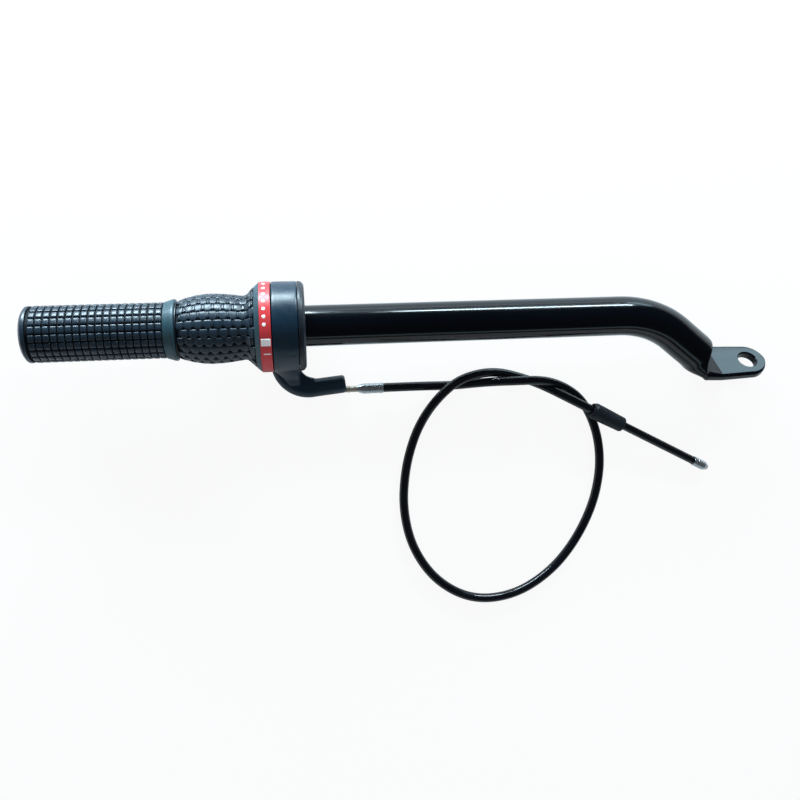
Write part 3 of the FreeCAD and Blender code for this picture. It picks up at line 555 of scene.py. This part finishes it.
def make_hand_grip():
    """The closed rubber grip with its end bead and square blocks, its collar and its washer."""
    base = 13.45
    outer = 14.6
    grip_end, collar = GRIP_END, COLLAR_START
    body = bar_lathe("grip_rubber_body", [
        (grip_end, 0.0, 0), (grip_end, outer - 2.2, 1.6), (grip_end + 1.6, outer + 0.1, 2.0),
        (grip_end + BEAD_WIDTH, outer, 0.3), (grip_end + 3.5, base - 0.3, 0.2),
        (grip_end + 4.4, base - 0.3, 0.2), (grip_end + 4.6, base, 0.2),
        (collar, base, 0.1), (collar, TUBE_RADIUS, 0), (grip_end + 4.0, TUBE_RADIUS, 0),
        (grip_end + 4.0, 0.0, 0),
    ], "frame", replaces=["fixed_grip"], slot="grip_rubber")
    # The grip's floor and bore take the darker rubber, painted shade in the gaps between the
    # blocks; the bead keeps the blocks' own colour.
    paint(body, "rubber_floor_painted_shade", "rubber_block")
    bead_limit = (BAR.x + grip_end + 3.45) * MM
    for face in body.data.polygons:
        if face.center.x < bead_limit:
            face.material_index = 1
    first, last = grip_end + 4.7, collar - 0.1
    skin = Skin([(first, outer), (last, outer)])
    columns, rows = 18, 21
    pitch = (last - first) / columns
    per_mm = 360 / (2 * math.pi * outer)
    cells = [
        (pitch * (column + 0.5), 360 / rows * (row + 0.5), per_mm)
        for column in range(columns) for row in range(rows)
    ]
    outline = rounded_outline(pitch / 2 - 0.36, math.pi * outer / rows - 0.4, 0.45)
    levels = [(1.04, -0.9), (1.0, -0.22), (0.93, -0.06), (0.6, 0.06)]
    blocks = pad_field("grip_blocks", skin, cells, outline, levels, "frame", slot="grip_rubber")
    paint(blocks, "rubber_block")

    collar_ring = bar_lathe("collar_flare", [
        (COLLAR_START, TUBE_RADIUS, 0), (COLLAR_END, TUBE_RADIUS, 0), (COLLAR_END, 15.6, 0.4),
        (-66.9, 16.2, 0.5), (-67.9, 16.2, 0.4), (COLLAR_START, 14.8, 0.5),
    ], "frame", replaces=["grip_collar"], slot="black_plastic")
    paint(collar_ring, "collar_plastic")
    washer = bar_lathe("washer_ring", [
        (COLLAR_END, RUNNING_RADIUS, 0), (WASHER_END, RUNNING_RADIUS, 0),
        (WASHER_END, 14.9, 0.2), (COLLAR_END, 14.9, 0.2),
    ], "frame", replaces=["thrust_washer"], slot="black_plastic")
    paint(washer, "cover_plastic")


# ---------------------------------------------------------------- twist grip

# One raised scale of the twist grip, in millimetres: full width at its upper end, with a notch
# at each lower corner; and the low web that joins two scales side by side above the notch.
SCALE_SHAPE = [
    (2.0, 0.0), (2.02, 1.2), (2.0, 2.0), (1.85, 2.26), (0.9, 2.3), (0.0, 2.3), (-0.9, 2.3),
    (-1.85, 2.26), (-2.0, 2.0), (-2.02, 1.2), (-2.0, 0.0), (-1.98, -1.0), (-1.88, -1.3),
    (-1.45, -1.55), (-1.4, -2.1), (-1.2, -2.33), (0.0, -2.36), (1.2, -2.33), (1.4, -2.1),
    (1.45, -1.55), (1.88, -1.3), (1.98, -1.0),
]
LINK_SHAPE = [
    (0.7, 0.4), (0.7, 1.5), (0.6, 2.2), (0.0, 2.3), (-0.6, 2.2), (-0.7, 1.5), (-0.7, 0.4),
    (-0.7, -0.6), (-0.5, -1.0), (0.0, -1.1), (0.5, -1.0), (0.7, -0.6),
]

COVER_START = -65.5
COVER_BACK = -25.9
SLEEVE_RADIUS = 13.2
FLANGE_RADIUS = 23.2
BAND_START = -23.3
BAND_END = -17.5
SCALE_DEPTH = 0.95
SCALE_PITCH = 5.02
SCALE_ROWS = 24
SCALE_COLUMNS = 9


def make_twist_cover():
    """The rubber cover: a turned floor with rows of scales and the webs between them."""
    outline = smooth_curve([
        (-65.5, 15.2), (-61.5, 16.5), (-57.0, 17.6), (-51.5, 18.35), (-46.0, 18.4),
        (-40.0, 18.0), (-34.5, 17.3), (-31.4, 17.0), (-29.6, 18.0), (-27.9, 19.8),
        (-26.2, 21.5),
    ])
    floor = Skin(outline)
    steps = 120
    section = []
    for step in range(steps + 1):
        spot = floor.at(floor.length * step / steps, 0, -SCALE_DEPTH) - BAR
        section.append((spot.x, spot.z))
    section[0] = (COVER_START, section[0][1])
    profile = section + [
        (-25.95, 21.4), (COVER_BACK, SLEEVE_RADIUS), (COVER_START, SLEEVE_RADIUS),
    ]
    cover = lathe("twist_rubber_body", profile, BAR, X_AXIS, "twist_grip",
                  replaces=["twist_cover"], slot="grip_rubber")
    # The cover's floor takes the darker rubber, painted shade in the gaps between the scales.
    paint(cover, "rubber_floor_painted_shade")
    per_mm = 360 / (2 * math.pi * 18.0)
    cells, links = [], []
    for row in range(SCALE_ROWS):
        shift = 0.5 if row % 2 else 0.0
        angle = 360 / SCALE_ROWS * (row + 0.5)
        for column in range(SCALE_COLUMNS):
            run = SCALE_PITCH * (column + 0.35 + shift)
            if 1.2 < run < floor.length - 1.6:
                cells.append((run, angle, per_mm))
            if 0.4 < run - SCALE_PITCH / 2 < floor.length - 1.0:
                links.append((run - SCALE_PITCH / 2, angle, per_mm))
    levels = [(1.05, -1.1), (1.0, -0.26), (0.93, -0.08), (0.6, 0.04)]
    scales = pad_field("twist_blocks", floor, cells, SCALE_SHAPE, levels, "twist_grip",
                       slot="grip_rubber")
    paint(scales, "rubber_block")
    link_levels = [(1.05, -1.1), (1.0, -0.5), (0.8, -0.4)]
    webs = pad_field("twist_webs", floor, links, LINK_SHAPE, link_levels, "twist_grip",
                     slot="grip_rubber")
    paint(webs, "rubber_block")


def make_barrel():
    """The barrel with its wire drum and flange, and the index band on the flange."""
    barrel = bar_lathe("barrel_turned", [
        (COVER_START, RUNNING_RADIUS, 0), (-9.7, RUNNING_RADIUS, 0), (-9.7, 19.7, 0.2),
        (-11.6, 19.7, 0.1), (-11.75, 17.45, 0.3), (-13.25, 17.45, 0.3), (-13.4, 19.7, 0.1),
        (-15.3, 19.7, 0.1), (-15.3, 15.0, 0.2), (-19.9, 15.0, 0), (-19.9, 20.8, 0),
        (BAND_END, 20.8, 0.2), (BAND_END, FLANGE_RADIUS, 0.1), (BAND_START, FLANGE_RADIUS, 0.05),
        (BAND_START, 23.9, 0.15), (COVER_BACK, 21.6, 0.3), (COVER_BACK, SLEEVE_RADIUS, 0),
        (COVER_START, SLEEVE_RADIUS, 0),
    ], "twist_grip", replaces=["twist_barrel"], slot="black_plastic")
    paint(barrel, "collar_plastic")
    band = bar_lathe("band_ring", [
        (-23.28, FLANGE_RADIUS, 0), (BAND_END, FLANGE_RADIUS, 0), (BAND_END, HOUSING_RADIUS, 0.2),
        (-23.28, HOUSING_RADIUS, 0.2),
    ], "twist_grip", replaces=["indicator_band"], slot="red_band")
    paint(band, "red_band")


def curved_patch(name, station, half_length, angle, half_angle, radius, rounded=False):
    """A thin printed patch that follows the band."""
    skin = Skin([(BAND_START, radius), (BAND_END, radius)])
    per_mm = 360 / (2 * math.pi * radius)
    half_height = half_angle / per_mm
    if rounded:
        steps = 28
        outline = [
            (half_length * math.cos(2 * math.pi * k / steps),
             half_height * math.sin(2 * math.pi * k / steps)) for k in range(steps)
        ]
    else:
        outline = rounded_outline(half_length, half_height, min(0.3, half_height * 0.6))
    levels = [(1.0, -0.05), (0.99, 0.03), (0.66, 0.035), (0.33, 0.035)]
    cell = (station - BAND_START, angle, per_mm)
    return pad_field(name, skin, [cell], outline, levels, "twist_grip")


def make_marks():
    """The plain white dots, block and line of the index band."""
    for number, angle in enumerate((3, 13, 23, 34, 45, 57, 70)):
        dot = curved_patch(f"scale_dot_{number}", -20.9, 0.95, angle, 2.3, HOUSING_RADIUS, True)
        paint(dot, "white_print")
    block = curved_patch("scale_block", -20.4, 2.45, -18.9, 4.8, HOUSING_RADIUS)
    paint(block, "white_print")
    line = curved_patch("scale_line", -19.9, 1.9, -35.0, 0.75, HOUSING_RADIUS)
    paint(line, "white_print")


# ---------------------------------------------------------------- housing with its cable guide

DRUM_PLANE = -12.5
HOUSING_OPEN = -17.2
HOUSING_BACK = -3.7
GUIDE_HEIGHT = -18.2
GUIDE_ROOT = 14.0
GUIDE_LENGTH = 18.3
GUIDE_RADIUS = 5.1
GUIDE_SPREAD = 0.7
GUIDE_BEND = 14.5
GUIDE_DEPTH = 20.5
GUIDE_TURN = math.radians(95.5)
VOXEL = 0.36


def guide_spot(distance):
    """Point and heading on the guide's centre line, in plan, from its root outwards."""
    straight = GUIDE_DEPTH - GUIDE_ROOT
    if distance < straight:
        return Vector((DRUM_PLANE, -GUIDE_ROOT - distance)), Vector((0, -1))
    arc = GUIDE_BEND * GUIDE_TURN
    turn = min((distance - straight) / GUIDE_BEND, GUIDE_TURN)
    spot = Vector((
        DRUM_PLANE + GUIDE_BEND * (1 - math.cos(turn)),
        -GUIDE_DEPTH - GUIDE_BEND * math.sin(turn),
    ))
    heading = Vector((math.sin(turn), -math.cos(turn)))
    return spot + heading * max(0.0, distance - straight - arc), heading


def make_guide_arm():
    """The arm as its own closed tube, wide where it leaves the housing."""
    reach = GUIDE_DEPTH - GUIDE_ROOT + GUIDE_BEND * GUIDE_TURN + GUIDE_LENGTH
    steps = 60
    vertices = []
    for step in range(steps + 1):
        t = step / steps
        spot, heading = guide_spot(reach * t)
        side = Vector((heading.y, -heading.x))
        spread = 1 - ease(t / GUIDE_SPREAD)
        wide = GUIDE_RADIUS + 2.3 * spread
        tall = GUIDE_RADIUS + 0.9 * spread
        end_round = max(0.0, (t - 0.975) / 0.025)
        trim = 1 - 0.16 * end_round ** 2
        for x, y in block_section(wide * trim, tall * trim, min(wide, tall) * trim * 0.97):
            plan = spot + side * x
            vertices.append(BAR + Vector((plan.x, plan.y, GUIDE_HEIGHT + y)))
    return vertices, capped_rings(steps + 1, len(vertices) // (steps + 1))


def prism(outline, low, high):
    """A closed solid between two placings of one outline; each placing turns it into points."""
    count = len(outline)
    vertices = [BAR + Vector(low(a, b)) for a, b in outline]
    vertices += [BAR + Vector(high(a, b)) for a, b in outline]
    caps = [tuple(range(count)), tuple(range(count, 2 * count))]
    return vertices, caps + between_rings(0, count, count)


def guide_fillet():
    """The rounding in plan between the housing's back and the arm."""
    radius = 8.0
    outline = [(DRUM_PLANE, -21.6), (HOUSING_BACK, -21.6), (HOUSING_BACK, -24.0)]
    for step in range(9):
        angle = math.radians(90 * step / 8)
        outline.append((4.3 - radius * math.cos(angle), -21.3 - radius * math.sin(angle)))
    outline += [(4.3, -35.0), (DRUM_PLANE, -30.0)]
    return prism(
        outline,
        lambda x, y: (x, y, GUIDE_HEIGHT - 4.4),
        lambda x, y: (x, y, GUIDE_HEIGHT + 4.4),
    )


def guide_web():
    """A web from the cylinder's side that turns out onto the arm in one hollow curve."""
    outline = [
        (-21.5, GUIDE_HEIGHT), (-21.5, 6.2), (-23.2, 6.2), (-24.3, 2.0), (-25.4, -2.2),
        (-26.9, -6.0), (-29.2, -9.3), (-32.3, -11.4), (-32.3, GUIDE_HEIGHT),
    ]
    return prism(
        outline,
        lambda y, z: (-17.0 + max(0.0, -HOUSING_RADIUS - y) * 0.95, y, z),
        lambda y, z: (-3.8, y, z),
    )


def housing_foot():
    """The flat foot under the cylinder."""
    outline = [(-10.0, -24.0), (10.0, -24.0), (10.0, -21.0), (-10.0, -21.0)]
    return prism(outline, lambda y, z: (-16.2, y, z), lambda y, z: (-6.0, y, z))


def make_housing():
    """The drum housing, its foot and its arm as one moulded skin, and the cover behind it."""
    shell = softened([
        (HOUSING_OPEN, 21.0, 0.2), (HOUSING_BACK, 21.0, 0.2),
        (HOUSING_BACK, HOUSING_RADIUS, 0.1), (HOUSING_OPEN, HOUSING_RADIUS, 0.6),
    ])
    housing = lathe("housing_skin", shell, BAR, X_AXIS, "frame", segments=200,
                    replaces=["housing"], slot="black_plastic")
    housing.modifiers.clear()
    tool = bmesh.new()
    tool.from_mesh(housing.data)
    for vertices, faces in (make_guide_arm(), guide_fillet(), guide_web(), housing_foot()):
        made = [tool.verts.new(Vector(spot) * MM) for spot in vertices]
        for face in faces:
            tool.faces.new([made[k] for k in face])
    bmesh.ops.recalc_face_normals(tool, faces=tool.faces)
    tool.to_mesh(housing.data)
    tool.free()
    remesh = housing.modifiers.new("one skin", "REMESH")
    remesh.mode = "VOXEL"
    remesh.voxel_size = VOXEL * MM
    relax = housing.modifiers.new("moulded edges", "SMOOTH")
    relax.factor = 0.5
    relax.iterations = 26
    settle(housing)
    housing.data.shade_smooth()
    paint(housing, "housing_plastic")

    cover = bar_lathe("cover_turned", [
        (-7.2, TUBE_RADIUS, 0), (0.0, TUBE_RADIUS, 0.2), (0.0, 22.0, 0.6), (-1.1, 23.5, 1.2),
        (-2.4, 23.95, 0.5), (-3.55, 23.95, 0.15), (-3.55, 21.0, 0), (-7.2, 20.95, 0.2),
    ], "frame", replaces=["housing_cover"], slot="black_plastic")
    paint(cover, "cover_plastic")


# ---------------------------------------------------------------- cable

# Control points of the free cable's centre line, in millimetres.
CABLE_ROUTE = [
    (-23.1, -27.9, 5.8), (-12.0, -27.9, 5.8), (3.0, -28.2, 3.4), (18.0, -28.6, 2.7),
    (31.0, -27.8, 2.9), (43.0, -27.2, 5.5), (54.0, -27.0, 9.5), (69.5, -27.0, 9.5),
    (83.0, -31.0, 4.4), (94.5, -38.8, 2.7), (101.3, -50.0, 2.7), (106.0, -65.0, 2.7),
    (106.8, -83.5, 2.7), (101.8, -105.0, 2.7), (90.0, -127.0, 2.7), (74.0, -144.5, 2.7),
    (52.0, -156.5, 2.7), (27.0, -157.5, 2.7), (5.5, -145.0, 2.7), (-8.5, -124.0, 2.7),
    (-13.5, -100.0, 2.7), (-11.5, -77.0, 2.7), (-6.0, -58.5, 2.7), (0.3, -45.5, 5.2),
    (8.3, -34.5, 9.2), (19.0, -25.7, 9.3), (31.5, -22.0, 7.2), (44.5, -21.6, 3.6),
    (58.0, -25.2, 2.7), (71.5, -30.6, 4.2), (84.5, -38.0, 10.7), (97.4, -44.9, 10.8),
]
TAIL_TIP = Vector((174.7, -85.4, 2.6))
CABLE_RADIUS = 2.6
NECK = Vector((-49.4, -28.0, 5.8))
FERRULE_SEAT = 11.6
TIP_LENGTH = 10.5


def make_cable():
    """The cable as one cord, with its neck and ferrule, end tube, tip and sliding boot."""
    curve = bpy.data.curves.new("cable_line", "CURVE")
    curve.dimensions = "3D"
    curve.resolution_u = 12
    # The bevel is 1 and each point's radius carries the cable's, so the bounding box is true.
    curve.bevel_depth = 1.0
    curve.bevel_resolution = 10
    curve.use_fill_caps = True
    spline = curve.splines.new("NURBS")
    spline.points.add(len(CABLE_ROUTE) - 1)
    for point, spot in zip(spline.points, CABLE_ROUTE):
        point.co = (*(value * MM for value in spot), 1.0)
        point.radius = CABLE_RADIUS * MM
    spline.order_u = 3
    spline.use_endpoint_u = True
    cable = bpy.data.objects.new("cable_jacket_run", curve)
    bpy.context.collection.objects.link(cable)
    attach(cable, "frame")
    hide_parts("cable_sheath")
    curve.materials.append(MATERIALS["cable_jacket"])

    neck = lathe("neck_tube", softened([
        (0.0, 0.8, 0), (11.7, 0.8, 0), (11.7, 1.7, 0.1), (7.4, 1.7, 0.1), (7.2, 1.9, 0.1),
        (6.4, 1.9, 0.1), (6.2, 1.7, 0.1), (0.0, 1.7, 0.1),
    ]), NECK, X_AXIS, "frame", segments=64, replaces=["cable_neck"], slot="brass")
    paint(neck, "brass")
    ferrule = lathe("ferrule_turned", softened([
        (0.0, 0.8, 0), (14.7, 0.8, 0), (14.7, 2.9, 0.35), (12.2, 2.9, 0.1), (12.0, 2.75, 0.1),
        (11.6, 2.75, 0.1), (11.4, 2.9, 0.1), (9.2, 2.9, 0.1), (9.0, 2.75, 0.1),
        (8.6, 2.75, 0.1), (8.4, 2.9, 0.1), (3.4, 2.9, 0.3), (0.0, 1.8, 0.2),
    ]), NECK + X_AXIS * FERRULE_SEAT, X_AXIS, "frame", segments=72,
        replaces=["cable_ferrule"], slot="silver_ferrule")
    paint(ferrule, "silver")

    tail_start = Vector(CABLE_ROUTE[-1])
    along = TAIL_TIP - tail_start
    length = along.length
    tube = lathe("end_tube_skin", softened([
        (0.0, 1.0, 0), (length - TIP_LENGTH, 1.0, 0), (length - TIP_LENGTH, 2.38, 0.1),
        (0.0, 2.4, 0.1),
    ]), tail_start, along, "frame", segments=64, replaces=["end_tube"], slot="cable_jacket")
    paint(tube, "cable_jacket")
    tip = lathe("tip_turned", softened([
        (length - TIP_LENGTH, 0.8, 0), (length, 0.8, 0.1), (length, 1.6, 0.2),
        (length - 2.6, 2.7, 0.25), (length - 7.6, 2.7, 0.1), (length - 7.8, 2.5, 0.1),
        (length - 8.3, 2.5, 0.1), (length - 8.5, 2.7, 0.1), (length - TIP_LENGTH, 2.7, 0.15),
    ]), tail_start, along, "frame", segments=64, replaces=["tip_ferrule"], slot="silver_ferrule")
    paint(tip, "silver")
    boot = lathe("boot_turned", softened([
        (1.5, 2.5, 0), (23.5, 2.5, 0), (23.5, 4.3, 0.4), (22.9, 4.45, 0.4), (12.0, 4.75, 2.0),
        (3.6, 4.9, 0.8), (1.5, 3.9, 0.4),
    ]), tail_start, along, "boot", segments=96, replaces=["dust_boot"], slot="boot_rubber")
    paint(boot, "boot_rubber")


# ---------------------------------------------------------------- stage

def area_light(name, place, target, width, height, power, colour):
    """A rectangular lamp aimed at a target, in metres and watts."""
    light = bpy.data.lights.new(name, "AREA")
    light.shape = "RECTANGLE"
    light.size = width
    light.size_y = height
    light.energy = power
    light.color = colour
    item = bpy.data.objects.new(name, light)
    bpy.context.collection.objects.link(item)
    item.location = place
    item.rotation_euler = (Vector(target) - Vector(place)).to_track_quat("-Z", "Y").to_euler()
    return item


FLOOR_HALF = 3.0
FLOOR_DROP = 0.0002
# How much of the floor's look towards the camera is plain white; the rest takes the shadow.
FLOOR_WHITE = 0.91
# The world's strength, what reflections lose of it, and the height up to which they see white.
WORLD_STRENGTH = 0.5
REFLECTION_LOSS = 0.46
LEVEL_LIMIT = 0.14


def make_stage():
    """The pale floor with the piece's shadow, and the lamps."""
    half = FLOOR_HALF
    floor_mesh = bpy.data.meshes.new("floor")
    floor_mesh.from_pydata(
        [(-half, -half, 0), (half, -half, 0), (half, half, 0), (-half, half, 0)], [], [(0, 1, 2, 3)]
    )
    floor = bpy.data.objects.new("floor", floor_mesh)
    bpy.context.collection.objects.link(floor)
    floor.location.z = -FLOOR_DROP
    material = bpy.data.materials.new("pale_floor")
    material.use_nodes = True
    nodes, links = material.node_tree.nodes, material.node_tree.links
    shader = nodes["Principled BSDF"]
    shader.inputs["Base Color"].default_value = (0.85, 0.86, 0.87, 1)
    shader.inputs["Roughness"].default_value = 0.9
    shader.inputs["Specular IOR Level"].default_value = 0.1
    glow = nodes.new("ShaderNodeEmission")
    glow.inputs["Color"].default_value = (1, 1, 1, 1)
    glow.inputs["Strength"].default_value = 1.0
    seen = nodes.new("ShaderNodeLightPath")
    share = nodes.new("ShaderNodeMath")
    share.operation = "MULTIPLY"
    share.inputs[1].default_value = FLOOR_WHITE
    links.new(seen.outputs["Is Camera Ray"], share.inputs[0])
    mix = nodes.new("ShaderNodeMixShader")
    links.new(share.outputs["Value"], mix.inputs["Fac"])
    links.new(shader.outputs["BSDF"], mix.inputs[1])
    links.new(glow.outputs["Emission"], mix.inputs[2])
    links.new(mix.outputs["Shader"], nodes["Material Output"].inputs["Surface"])
    floor_mesh.materials.append(material)
    light_the_world()

    area_light("softbox_back", (0.1, 0.8, 0.2), (0.1, 0.0, 0.03), 1.4, 0.24, 1.5,
               (0.62, 0.87, 1.0))
    area_light("strip_grip", (-0.29, 0.74, 0.17), (-0.14, 0.0, 0.02), 0.5, 0.12, 14.0,
               (0.7, 0.9, 1.0))
    area_light("strip_tube", (0.3, 0.74, 0.33), (0.06, 0.0, 0.02), 0.44, 0.07, 6.4,
               (0.74, 0.92, 1.0))
    area_light("fill_front", (0.0, -0.9, 0.35), (0.0, 0.0, 0.0), 1.6, 0.14, 0.7,
               (0.62, 0.87, 1.0))
    area_light("lug_glow", (0.64, 0.77, 0.12), (0.19, -0.02, 0.01), 0.3, 0.14, 0.62,
               (0.55, 0.85, 1.0))


def light_the_world():
    """A dim even studio; the pale surroundings are seen straight and in reflections near level."""
    world = bpy.data.worlds.new("studio")
    bpy.context.scene.world = world
    world.use_nodes = True
    nodes, links = world.node_tree.nodes, world.node_tree.links

    def combine(operation, first, second):
        node = nodes.new("ShaderNodeMath")
        node.operation = operation
        for socket, value in zip(node.inputs, (first, second)):
            if isinstance(value, float):
                socket.default_value = value
            else:
                links.new(value, socket)
        return node.outputs["Value"]

    seen = nodes.new("ShaderNodeLightPath")
    way = nodes.new("ShaderNodeTexCoord")
    split = nodes.new("ShaderNodeSeparateXYZ")
    links.new(way.outputs["Generated"], split.inputs["Vector"])
    level = nodes.new("ShaderNodeMapRange")
    level.inputs["From Min"].default_value = 0.0
    level.inputs["From Max"].default_value = LEVEL_LIMIT
    level.inputs["To Min"].default_value = 1.0
    level.inputs["To Max"].default_value = 0.0
    links.new(split.outputs["Z"], level.inputs["Value"])
    mirrored = combine("MULTIPLY", seen.outputs["Is Glossy Ray"], level.outputs["Result"])
    pale = combine("MAXIMUM", seen.outputs["Is Camera Ray"], mirrored)
    pale = combine("MAXIMUM", pale, seen.outputs["Is Transmission Ray"])
    dim = nodes["Background"]
    dim.inputs["Color"].default_value = (0.93, 0.97, 1.0, 1)
    loss = combine("MULTIPLY", seen.outputs["Is Glossy Ray"], REFLECTION_LOSS)
    links.new(combine("SUBTRACT", WORLD_STRENGTH, loss), dim.inputs["Strength"])
    white = nodes.new("ShaderNodeBackground")
    white.inputs["Color"].default_value = (1, 1, 1, 1)
    white.inputs["Strength"].default_value = 1.0
    mix = nodes.new("ShaderNodeMixShader")
    links.new(pale, mix.inputs["Fac"])
    links.new(dim.outputs["Background"], mix.inputs[1])
    links.new(white.outputs["Background"], mix.inputs[2])
    links.new(mix.outputs["Shader"], nodes["World Output"].inputs["Surface"])


def make_camera():
    """The photo's viewpoint, from above."""
    lens = bpy.data.cameras.new("camera")
    lens.lens = 36.0
    lens.sensor_width = 36.0
    camera = bpy.data.objects.new("camera", lens)
    bpy.context.collection.objects.link(camera)
    roll, pitch, yaw = math.radians(1.838), math.radians(5.502), math.radians(7.379)
    turn = Matrix.Rotation(roll, 4, "Z") @ Matrix.Rotation(pitch, 4, "X")
    turn = turn @ Matrix.Rotation(yaw, 4, "Y")
    camera.matrix_world = Matrix.Translation((-0.07211, 0.0085, 0.45812)) @ turn.transposed()
    bpy.context.scene.camera = camera
    bpy.context.scene.view_settings.view_transform = "Standard"


def paint_hidden_nodes():
    """Looks for the inner pieces that keep their CAD shapes."""
    hidden = {
        "cover_screws": "cover_plastic", "disc_spring": "zinc", "set_screw": "zinc",
        "inner_wire": "zinc", "drum_wire": "zinc", "wire_end": "zinc", "drum_nipple": "brass",
    }
    for node, name in hidden.items():
        paint(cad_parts[node], name)


make_tube()
make_hand_grip()
make_twist_cover()
make_barrel()
make_marks()
make_housing()
make_cable()
paint_hidden_nodes()
make_stage()
make_camera()
